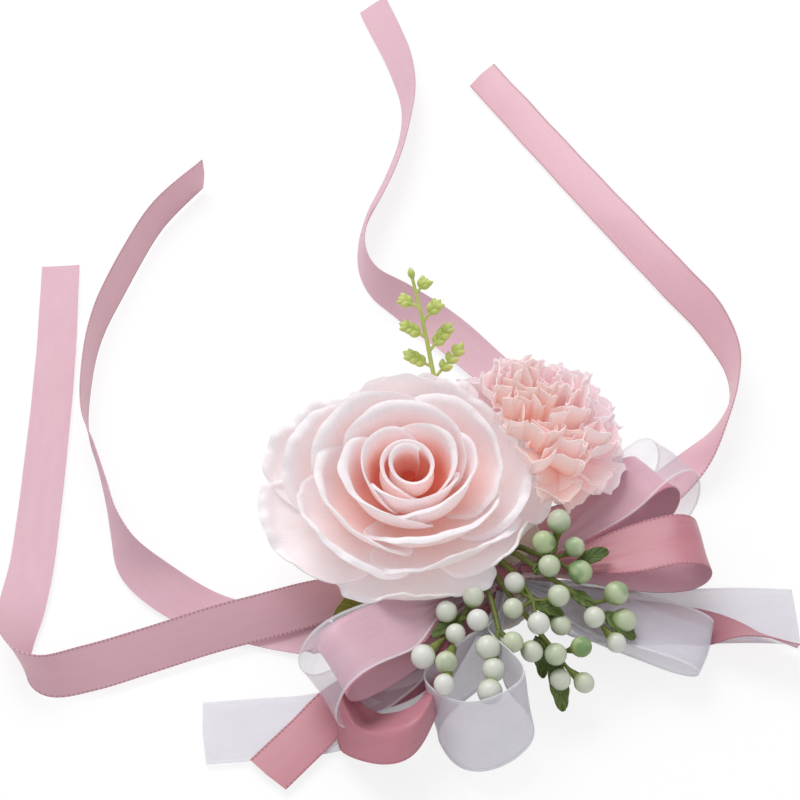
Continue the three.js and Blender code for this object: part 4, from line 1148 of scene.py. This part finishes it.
def beside_rose(points):
    """Points of the part moved straight out of the rose where they lie inside its outline."""
    x, y, z = (points - ROSE_PLACE).T
    c, s = math.cos(ROSE_LEAN), math.sin(ROSE_LEAN)
    own = np.stack([x, (y * c + z * s) / ROSE_DEPTH, z * c - y * s], axis=-1)
    radius = np.linalg.norm(own[:, :2], axis=1)
    free = np.interp(own[:, 2], *ROSE_OUTLINE.T, left=0, right=0)
    grow = np.where(radius < free, free / np.maximum(radius, 1e-6), 1)
    own[:, :2] *= grow[:, None]
    return rose_to_part(own)


# %% [markdown]
# Each layer has two rings of fans. Fans on the rose's side are squeezed upwards, the lowest ones at the
# front are longest, and the dye goes from pink at the back to peach at the front.

# %% Carnation petals
ruffles = [  # rings of rim radius, rise and number of fans
    dict(name="outer", rings=[(22, 3, 8), (20.5, 5.5, 8)], depth=2.2),
    dict(name="middle", rings=[(18, 8.5, 7), (15.5, 11, 7)], depth=2.0),
    dict(name="inner", rings=[(12.8, 12.5, 6), (10, 14, 6)], depth=1.6),
    dict(name="core", rings=[(7.2, 14.5, 5), (4.2, 15, 4)], depth=1.2),
]
ROSE_SIDE = math.atan2(ROSE_PLACE[1] - CARNATION_HEAD[1], ROSE_PLACE[0] - CARNATION_HEAD[0])
PINK_SIDE = math.radians(60)  # the fans are pink on this side and peach on the other
FULL_SIDE = math.radians(-62)  # and the lowest ones longest on this
FAN_ROWS, FAN_COLUMNS = 24, 84
FAN_WRAP = 1.3
TOOTH_PITCH = 1.3
FAN_ROLL = 0.9
FAN_SEAT, LAYER_PITCH, STEP_PITCH = 5.3, 1.1, 0.45  # lowest ring, from layer to layer, from ring to ring
CARNATION_SEED = 60


def carnation_fan(rim, rise, petals, seat, number, depth, draw):
    """A grid over one ruffled fan in the carnation's own frame, its UVs and nearness to the rim."""
    tall, cut, curl = draw.uniform(0.85, 1.1), draw.uniform(0.9, 1.04), draw.uniform(0.3, 1.6)
    line = cup_line(rim, rise * tall, seat, FAN_ROLL, cut, curl)
    u = np.linspace(-1, 1, FAN_COLUMNS)[None, :]
    v = np.linspace(0, 1, FAN_ROWS)[:, None]
    span = TURN / petals
    half_width = rim * span * FAN_WRAP / 2
    tooth = np.abs((u * half_width / TOOTH_PITCH) % 1 - 0.5) * 2
    phase = draw.uniform(0, TURN, 3)
    notch = 0.03 * tooth * smooth(0.85, 1.0, v)
    share = v * (1 - 0.16 * np.abs(u) ** 3 - 0.04 * np.sin(5 * u + phase[2]) ** 2 - notch)
    radius, height = (np.interp(share, np.linspace(0, 1, len(line)), column) for column in line.T)
    slope = np.gradient(np.stack([radius, height], axis=-1), axis=0)
    outward = unit(np.stack([slope[..., 1], -slope[..., 0]], axis=-1))
    waves = draw.uniform(1.4, 2.4)
    grow = smooth(0.1, 1.0, v)
    folds = np.sin(math.pi * waves * u + phase[0]) + 0.3 * np.sin(7.3 * u + phase[1])
    ruffle = depth * (grow * folds + 0.2 * v**3 * np.sin(19 * u + phase[2]))
    radius = radius + ruffle * outward[..., 0] + 0.6 * u * v
    height = height + ruffle * outward[..., 1]
    sway = 0.3 / waves * np.sin(TURN * waves * u + 2 * phase[0]) * grow
    angle = span * (number + 0.5 + FAN_WRAP / 2 * (u + sway) + draw.uniform(-0.12, 0.12))
    points = np.stack(np.broadcast_arrays(radius * np.cos(angle), radius * np.sin(angle), height), axis=-1)
    uv = np.stack(np.broadcast_arrays(u * half_width, share * (rim + rise)), axis=-1)
    return points, uv, np.broadcast_to(v, points.shape[:2])


for layer, ruffle in enumerate(ruffles):
    draw = np.random.default_rng(CARNATION_SEED + layer)
    cloth = Cloth("carnation_" + ruffle["name"])
    for step, (rim, rise, petals) in enumerate(ruffle["rings"]):
        seat = FAN_SEAT + LAYER_PITCH * layer + STEP_PITCH * step
        for number in range(petals):
            turn = number + step / 2
            towards = TURN * (turn + 0.5) / petals
            squeezed = smooth(0.3, 1.0, math.cos(towards - ROSE_SIDE))
            fuller = smooth(0.5, 1.0, math.cos(towards - FULL_SIDE)) if layer == 0 else 0.0
            pink = np.clip(0.75 + 0.75 * math.cos(towards - PINK_SIDE), 0, 1) * (1 - 0.08 * layer)
            wide = rim * (1 - 0.45 * squeezed + 0.12 * fuller)
            tall = rise + 5 * squeezed - 3 * fuller
            points, uv, near_rim = carnation_fan(wide, tall, petals, seat, turn, ruffle["depth"], draw)
            points = points @ carnation_turn.T + CARNATION_HEAD
            points = make_room(beside_rose(points.reshape(-1, 3))).reshape(points.shape)
            cloth.add(points, uv, RUFFLE_CLOTH, tint_of(near_rim, pink, draw.uniform()))
    made = cloth.build(carnation_cloth)
    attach(made, "corsage")
    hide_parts("carnation_petals_" + ruffle["name"])

# %% [markdown]
# ## Leaf
# One leaf shows under the rose. A blade is a grid whose width follows a rounded outline; its midrib lies
# lower than its edges, and veins are left to the finish and a slight quilting of the surface.

# %% Leaf blades
LEAF_CLOTH = 0.4


def leaf_blade(root, tip, width, arch, cup):
    """A grid of points over a blade, its UVs and how far each point is from the midrib."""
    root, tip = np.array(root, float), np.array(tip, float)
    u = np.linspace(-1, 1, 21)[None, :]
    v = np.linspace(0, 1, 40)[:, None]
    scallop = 1 + 0.04 * np.sin(22 * v) * np.abs(u)
    outline = np.sqrt(np.maximum(0, np.sin(math.pi * lerp(0.05, 0.985, v)))) * scallop
    side = unit(np.cross(tip - root, UP)) * width / 2
    quilting = 0.12 * np.sin(17 * v - 6 * np.abs(u)) * np.abs(u)
    lift = arch * np.sin(math.pi * v) - cup * (1 - np.abs(u)) ** 1.5 + quilting
    points = root + v[..., None] * (tip - root) + (u * outline)[..., None] * side + lift[..., None] * UP
    uv = np.stack(np.broadcast_arrays((u + 1) * width / 2, v * np.linalg.norm(tip - root)), axis=-1)
    return points, uv, np.broadcast_to(np.abs(u), points.shape[:2])


points, uv, from_rib = leaf_blade([-13, -9, SEAT + 1.6], [-29, -20.5, SEAT + 0.2], 9, 0.6, 1.1)
cloth = Cloth("leaf_under_rose")
cloth.add(points, uv, LEAF_CLOTH, tint_of(from_rib, 0, 0.3))
leaf = cloth.build(leaf_green)
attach(leaf, "corsage")
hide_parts("rose_leaf")

# %% [markdown]
# ## Twigs and berries with Geometry Nodes
# Every twig is the same idea: a stem that forks into stalks, with a berry on the end of each. The script
# draws the lines as loose edges with a thickness on every point, and marks the points that carry a
# berry. A node tree turns the lines into round stalks and sets a berry on each marked point, aimed along
# its stalk. The tree's inputs are the sizes that one would change by hand.

# %% The twig tree
TWIG_RADIUS, STALK_RADIUS, BERRY_RADIUS = 0.7, 0.45, 2.35


def named(wire, name, kind="FLOAT"):
    return wire.node("GeometryNodeInputNamedAttribute", {"data_type": kind}, {"Name": name})


def twig_tree(name):
    """A node tree that turns marked lines into stalks with fruit on their ends."""
    tree = bpy.data.node_groups.new(name, "GeometryNodeTree")
    faces = tree.interface
    faces.new_socket("Geometry", in_out="OUTPUT", socket_type="NodeSocketGeometry")
    faces.new_socket("Lines", in_out="INPUT", socket_type="NodeSocketGeometry")
    sizes = ("Fruit radius", "Fruit length", "Taper", "Point", "Size spread")
    inputs = [(label, "Float") for label in sizes]
    inputs += [("Seed", "Int"), ("Fruit finish", "Material"), ("Stalk finish", "Material")]
    for label, kind in inputs:
        faces.new_socket(label, in_out="INPUT", socket_type="NodeSocket" + kind)
    wire = Wire(tree)
    given = tree.nodes.new("NodeGroupInput").outputs
    read = {socket.name: Wire(tree, socket) for socket in given}
    curve = wire.node("GeometryNodeMeshToCurve", None, {0: read["Lines"]})
    ring = wire.node("GeometryNodeCurvePrimitiveCircle", None, {"Resolution": 8, "Radius": 1.0})
    stalks = wire.node("GeometryNodeCurveToMesh", None, {"Curve": curve, "Profile Curve": ring,
                       "Scale": named(wire, "thickness"), "Fill Caps": True})
    ball = wire.node("GeometryNodeMeshUVSphere", None, {"Segments": 18, "Rings": 12, "Radius": 1.0})
    x, y, z = wire.node("GeometryNodeInputPosition").parts()
    below = z.math("MAXIMUM", 0.0 - z, 0.0)
    above = z.math("MAXIMUM", z, 0.0)
    slim = 1.0 - read["Taper"] * below * below - read["Point"] * above * above
    drop = wire.node("ShaderNodeCombineXYZ", None, {0: x * slim, 1: y * slim, 2: z * read["Fruit length"]})
    ball = wire.node("GeometryNodeStoreNamedAttribute", {"data_type": "FLOAT", "domain": "POINT"},
                     {"Geometry": ball, "Name": "tip", "Value": z})
    fruit = wire.node("GeometryNodeSetPosition", None, {"Geometry": ball, "Position": drop})
    aim = wire.node("FunctionNodeAlignRotationToVector", {"axis": "Z"},
                    {"Vector": named(wire, "aim", "FLOAT_VECTOR")})
    spread = read["Size spread"]
    chance = wire.node("FunctionNodeRandomValue", {"data_type": "FLOAT"},
                       {2: 1.0 - spread, 3: 1.0 + spread, "Seed": read["Seed"]}, out=1)
    placed = wire.node("GeometryNodeInstanceOnPoints", None, {
        "Points": read["Lines"], "Selection": named(wire, "fruit"), "Instance": fruit, "Rotation": aim,
        "Scale": read["Fruit radius"] * chance * named(wire, "size")})
    placed = wire.node("GeometryNodeStoreNamedAttribute", {"data_type": "FLOAT", "domain": "INSTANCE"},
                       {"Geometry": placed, "Name": "flesh", "Value": 1.0})
    both = tree.nodes.new("GeometryNodeJoinGeometry")
    for part in (placed, stalks):
        tree.links.new(part.socket, both.inputs[0])
    whole = wire.node("GeometryNodeRealizeInstances", None, {"Geometry": Wire(tree, both.outputs[0])})
    whole = wire.node("GeometryNodeSetShadeSmooth", None, {"Geometry": whole})
    whole = wire.node("GeometryNodeSetMaterial", None, {"Geometry": whole, "Material": read["Stalk finish"]})
    whole = wire.node("GeometryNodeSetMaterial", None, {
        "Geometry": whole, "Selection": named(wire, "flesh"), "Material": read["Fruit finish"]})
    end = tree.nodes.new("NodeGroupOutput")
    tree.links.new(whole.socket, end.inputs[0])
    return tree


twigs_tree = twig_tree("twig_with_fruit")
print("twig tree has", len(twigs_tree.nodes), "nodes")

# %% [markdown]
# The lines of a twig are gathered in a small list of runs. Growing a twig adds the modifier, sets its
# inputs by their identifiers, reads the finished mesh back and drops the modifier, so that a plain mesh
# is left.

# %% Growing a twig


class Lines:
    """Runs of points with thickness, and marks for what grows on some of them."""

    def __init__(self):
        self.points, self.thickness, self.edges = [], [], []
        self.fruit, self.aim, self.size, self.ripe = [], [], [], []

    def run(self, points, thickness):
        first = len(self.points)
        self.points += [list(p) for p in points]
        self.thickness += list(np.broadcast_to(thickness, len(points)))
        self.edges += [(first + i, first + i + 1) for i in range(len(points) - 1)]
        self.fruit += [0.0] * len(points)
        self.aim += [[0.0, 0.0, 1.0]] * len(points)
        self.size += [1.0] * len(points)
        self.ripe += [0.0] * len(points)

    def mark(self, aim, size, ripe):
        """A fruit on the last point of the last run."""
        self.fruit[-1], self.aim[-1], self.size[-1], self.ripe[-1] = 1.0, list(aim), size, ripe

    def grow(self, name, seed, fruit, stalk, radius, length, taper, point, spread):
        mesh = bpy.data.meshes.new(name)
        mesh.from_pydata((np.array(self.points) * MM).tolist(), self.edges, [])
        for key, values in (("thickness", np.array(self.thickness) * MM), ("fruit", self.fruit),
                            ("size", self.size), ("ripe", self.ripe)):
            column = mesh.attributes.new(key, "FLOAT", "POINT")
            column.data.foreach_set("value", np.asarray(values, np.float32))
        mesh.attributes.new("aim", "FLOAT_VECTOR", "POINT").data.foreach_set(
            "vector", np.array(self.aim, np.float32).ravel())
        made = bpy.data.objects.new(name, mesh)
        bpy.context.scene.collection.objects.link(made)
        modifier = made.modifiers.new("grow", "NODES")
        modifier.node_group = twigs_tree
        inputs = {"Fruit radius": radius * MM, "Fruit length": length, "Taper": taper, "Point": point,
                  "Size spread": spread, "Seed": seed, "Fruit finish": fruit, "Stalk finish": stalk}
        for socket in twigs_tree.interface.items_tree:
            if socket.name in inputs:
                modifier[socket.identifier] = inputs[socket.name]
        seen = made.evaluated_get(bpy.context.evaluated_depsgraph_get())
        plain = bpy.data.meshes.new_from_object(seen)
        made.modifiers.remove(modifier)
        made.data = plain
        plain.name = name
        print(name, len(plain.polygons), "faces")
        return made


# %% [markdown]
# Six twigs carry the berries. Each stem starts on the glue and ends where its stalks fork. A stalk sags
# a little on its way and thickens towards its berry. Heights are above the seat that all is glued to.

# %% Berry twigs
STALK_SAG = 1.0
STEM_POINTS, STALK_POINTS = 24, 14
RIPE_SEED, GROWTH_SEED = 90, 5
TWIG_FOOT, SPRIG_FOOT = 0.35, 0.5  # height at which a stem starts
berry_twigs = [
    dict(name="rear", body="berry_twig_rear", ripe=0.5,
         stem=[[8.6, -1.4], [11, -4.5, 6.1], [14.5, -8, 8.6], [18, -10, 10.1]],
         berries=[[19, -4.5, 15.6], [15.6, -9.2, 14.6], [22, -10, 14.1], [16.5, -14, 13.1],
                  [23, -14.5, 11.6]]),
    dict(name="middle", body="berry_twig_middle", ripe=0.15,
         stem=[[4.6, -4], [6.6, -8.5, 6.9], [10, -13.5, 8.2], [13, -19.5, 8.4]],
         berries=[[9.2, -17, 11.1], [18, -20.5, 11.6], [8.5, -23.5, 11.6], [13.5, -27, 11.6],
                  [18.5, -25, 7.6]]),
    dict(name="left", body="corsage", ripe=0.2,
         stem=[[-2, -6], [-0.4, -11, 5.8], [0.4, -16.5, 6.2], [-1.8, -23, 7.4]],
         berries=LEFT_BERRIES),
    dict(name="front", body="berry_twig_front", ripe=0.15,
         stem=[[0.3, -5.5], [1.6, -10.5, 6.4], [4.2, -19, 8.0], [5.5, -27, 8.8]],
         berries=[[8, -31, 10.8], [3, -32, 10.4], [4, -36.5, 9.4], [3, -41.5, 9.6], [12, -31.5, 8]]),
    dict(name="right", body="berry_twig_right", ripe=0.35,
         stem=[[7, -3.2], [9.6, -7, 7.6], [16, -13.5, 9], [25, -20, 7.8]],
         berries=[[25.5, -24, 9], [30.5, -18.5, 9.4], [32, -23, 6], [30, -28, 5.6]]),
    dict(name="front_right", body="berry_twig_front_right", ripe=0.4,
         stem=[[2.6, -5], [4, -9.5, 6.5], [8, -17, 7.2], [17, -29, 4.2]],
         berries=[[17, -32, 7.6], [22.5, -29.5, 6.2], [18, -35.5, 3.6], [23, -35.5, 2.2]]),
]


def standing(stem, foot=TWIG_FOOT):
    """A stem's stations in the part's frame, the first one lying on the seat."""
    (x, y), *rest = stem
    return np.array([[x, y, foot], *rest]) + SEAT * UP


for number, twig in enumerate(berry_twigs):
    draw = np.random.default_rng(RIPE_SEED + number)
    stem = standing(twig["stem"])
    lines = Lines()
    stem_line = spline(stem)(np.linspace(0, 1, STEM_POINTS))
    lines.run(stem_line, np.linspace(1.05, 0.8, STEM_POINTS) * TWIG_RADIUS)
    along = np.linspace(0, 1, STALK_POINTS)
    for place in twig["berries"]:
        berry = np.array(place, float) + SEAT * UP
        middle = lerp(stem[-1], berry, 0.5) - STALK_SAG * UP
        bend = spline([stem[-1], middle, berry])(along)
        aim = unit(bend[-1] - bend[-4])
        lines.run(bend, STALK_RADIUS * (1.0 + 1.4 * smooth(0.45, 0.85, along)))
        lines.mark(aim, 1.0, np.clip(twig["ripe"] + draw.uniform(-0.25, 0.35), 0, 1))
    made = lines.grow("twig_" + twig["name"], GROWTH_SEED + number, berry_skin, stalk_green, BERRY_RADIUS,
                      length=1.1, taper=0.3, point=0.0, spread=0.1)
    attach(made, twig["body"])
    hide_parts("berry_twig_" + twig["name"])

# %% [markdown]
# A few small leaves grow between the berries. They are the same blades as the leaf under the rose, and
# each rides on its twig.

# %% Leaves on the twigs
twig_leaves = [  # twig, root and tip above the seat, width
    ("rear", [23, -12, 11], [29.4, -9.6, 12.4], 3.4),
    ("rear", [16.8, -10, 10.2], [13.6, -15.4, 12.2], 3.0),
    ("right", [28, -22, 7.2], [34.2, -26.8, 5], 3.8),
    ("right", [21.4, -17.4, 8.4], [25.6, -21.8, 8.8], 3.0),
    ("front_right", [17, -31, 4.4], [18.4, -41.4, 1.2], 4.0),
    ("front_right", [14, -26, 4.8], [14.8, -34, 1.6], 3.2),
    ("middle", [13, -20, 8], [19, -24, 9.6], 3.0),
    ("left", [-1.8, -23.2, 7.6], [-8.4, -28, 8], 3.0),
]
for number, (twig, root, tip, width) in enumerate(twig_leaves):
    points, uv, from_rib = leaf_blade(root + SEAT * UP, tip + SEAT * UP, width, 0.6, 0.5)
    cloth = Cloth(f"leaf_{number}_{twig}")
    cloth.add(points, uv, LEAF_CLOTH, tint_of(from_rib, 0, 0.3))
    small = cloth.build(twig_leaf_green)
    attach(small, "corsage" if twig == "left" else "berry_twig_" + twig)

# %% [markdown]
# ## Budding sprig
# The sprig behind the rose is the same tree with other sizes: a stem with short side twigs, each ending
# in pointed buds.

# %% Sprig of buds
SPRIG_STEM = [[-2, 15], [-3.6, 23, 4.8], [-7, 36.4, 15.2], [-9.6, 45, 24.6], [-12.4, 54, 32.1]]
TWIGLETS = [  # share of the stem, turn round it in degrees, length
    [0.5, 0, 9], [0.55, 180, 6], [0.62, 10, 7], [0.69, 185, 5.5], [0.76, -5, 5], [0.83, 175, 4], [0.9, 5, 3],
]
BUD_RADIUS, BUD_STALK, BUD_SPREAD = 0.95, 0.38, 38.0


def turned(vector, axis, degrees):
    return np.array(Matrix.Rotation(math.radians(degrees), 3, Vector(axis)) @ Vector(vector))


stem = standing(SPRIG_STEM, foot=SPRIG_FOOT)
stem_at = spline(stem)
lines = Lines()
lines.run(stem_at(np.linspace(0, 1, 40)), np.linspace(1.0, 0.55, 40) * TWIG_RADIUS)
lines.mark(unit(stem_at(1.0) - stem_at(0.98)), 1.0, 0.5)
for share, turn, length in TWIGLETS:
    growth = unit(stem_at(share + 0.01) - stem_at(share - 0.01))
    way = unit(growth + turned((1, 0, 0), growth, turn))
    foot = stem_at(share)
    curve = foot + np.linspace(0, 1, 8)[:, None] * length * way
    lines.run(curve, BUD_STALK)
    lines.mark(way, 1.0, 0.5)
    hinge = unit(np.cross(np.cross(way, UP), way))
    for reach in (0.3, 0.55, 0.8) if length > 5 else (0.5, 0.8):
        for sign in (1, -1):
            side = turned(way, hinge, sign * BUD_SPREAD)
            base = foot + reach * length * way
            lines.run(base + np.linspace(0, 1.4, 4)[:, None] * side, BUD_STALK * 0.8)
            lines.mark(side, 0.85, 0.5)
sprig = lines.grow("sprig_of_buds", 3, sprig_green, sprig_green, BUD_RADIUS,
                   length=1.7, taper=0.25, point=0.6, spread=0.12)
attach(sprig, "bud_sprig")
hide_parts("bud_sprig")

# %% [markdown]
# ## Pad
# Under the flowers lie a felt disc, a card and a bed of glue. The felt is a sheet with a soft cut edge,
# and the glue a lumpy bead that has run to the edge of the card. The card and the calyxes keep their CAD
# shape and only get a finish.

# %% Felt, glue and kept CAD pieces
FELT_RADIUS, FELT_THICKNESS = 20.0, 1.5
rings = lathe_grid(rounded(FELT_RADIUS, 0, FELT_THICKNESS, 0.5), 160,
                   lambda angle, share: 0.006 * np.sin(23 * angle) + 0.004 * np.sin(57 * angle + 3 * share))
pad = lathe_object("felt_pad", rings, felt)
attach(pad, "corsage")
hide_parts("backing_felt")

glue_low, glue_high = (corner[2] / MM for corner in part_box("glue_bed"))
glue_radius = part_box("glue_bed")[1][0] / MM
rings = lathe_grid(rounded(glue_radius, glue_low, glue_high, 0.5), 96,
                   lambda angle, share: 0.02 * np.sin(5 * angle + 1) + 0.012 * np.sin(11 * angle))
bead = lathe_object("glue_bead", rings, glue)
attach(bead, "corsage")
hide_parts("glue_bed")

for node, material in (("base_card", card), ("rose_calyx", calyx_green), ("carnation_calyx", stalk_green),
                       ("carnation_stem", stalk_green)):
    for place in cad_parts[node].material_slots:
        place.material = material
print("kept CAD pieces have finishes")

# %% [markdown]
# ## Stage, light and camera
# The corsage lies on a plain pale table in soft light. The world lights the scene evenly and shows white
# to the camera; one large lamp above and behind gives the ribbons their sheen, and a weaker one fills
# the front. The table is partly lit by itself for the camera alone, so it stays near white and still
# keeps the shadow.

# %% Table and world
TABLE_SIZE, TABLE_TOP = 6.0, -0.0004
bpy.ops.mesh.primitive_plane_add(size=TABLE_SIZE, location=(0, 0, TABLE_TOP))
table = bpy.context.object
table.name = "table"

table_white = bpy.data.materials.new("table_white")
table_white.use_nodes = True
wire = Wire(table_white.node_tree)
shader = table_white.node_tree.nodes["Principled BSDF"]
shader.inputs["Base Color"].default_value = (0.93, 0.93, 0.93, 1)
shader.inputs["Roughness"].default_value = 0.9
shader.inputs["Specular IOR Level"].default_value = 0.1
glow = wire.node("ShaderNodeEmission", None, {"Color": (1, 1, 1, 1), "Strength": 1.06})
seen = wire.node("ShaderNodeLightPath", out="Is Camera Ray")
lit = Wire(wire.tree, shader.outputs[0])
mixed = wire.node("ShaderNodeMixShader", None, {0: seen * 0.75, 1: lit, 2: glow})
wire.tree.links.new(mixed.socket, table_white.node_tree.nodes["Material Output"].inputs["Surface"])
table.data.materials.append(table_white)

world = bpy.data.worlds.new("soft_room")
world.use_nodes = True
bpy.context.scene.world = world
wire = Wire(world.node_tree)
room = world.node_tree.nodes["Background"]
room.inputs["Color"].default_value = (1, 1, 1, 1)
room.inputs["Strength"].default_value = 0.5
white = wire.node("ShaderNodeBackground", None, {"Color": (1, 1, 1, 1), "Strength": 1.0})
path = world.node_tree.nodes.new("ShaderNodeLightPath").outputs
shown = Wire(wire.tree, path["Is Camera Ray"])
mixed = wire.node("ShaderNodeMixShader", None, {0: shown, 1: Wire(wire.tree, room.outputs[0]), 2: white})
wire.tree.links.new(mixed.socket, world.node_tree.nodes["World Output"].inputs["Surface"])
print("table and world are white to the camera")

# %% [markdown]
# Large disc lamps give soft shadows. The camera looks down at about 50 degrees through a fairly long
# lens, so the ribbons that run away from it get only a little narrower.

# %% Lamps and camera


def lamp(name, place, size, watts):
    light = bpy.data.lights.new(name, "AREA")
    light.shape, light.size, light.energy = "DISK", size, watts
    made = bpy.data.objects.new(name, light)
    made.location = place
    made.rotation_euler = (-Vector(place)).to_track_quat("-Z", "Y").to_euler()
    bpy.context.scene.collection.objects.link(made)


lamp("key_lamp", (-0.25, 0.55, 0.8), 0.7, 5.2)
lamp("fill_lamp", (0.4, -0.8, 0.8), 1.0, 1.2)

CAMERA_PLACE = Vector((-0.015, -0.177, 0.2681))
CAMERA_AIM = Vector((-0.015, 0.048, 0.0))
lens = bpy.data.cameras.new("camera")
lens.lens, lens.sensor_width = 63.0, 36.0
camera = bpy.data.objects.new("camera", lens)
camera.location = CAMERA_PLACE
camera.rotation_euler = (CAMERA_AIM - CAMERA_PLACE).to_track_quat("-Z", "Y").to_euler()
bpy.context.scene.collection.objects.link(camera)
bpy.context.scene.camera = camera
bpy.context.scene.view_settings.view_transform = "Standard"
print("camera", lens.lens, "mm at", list(CAMERA_PLACE))
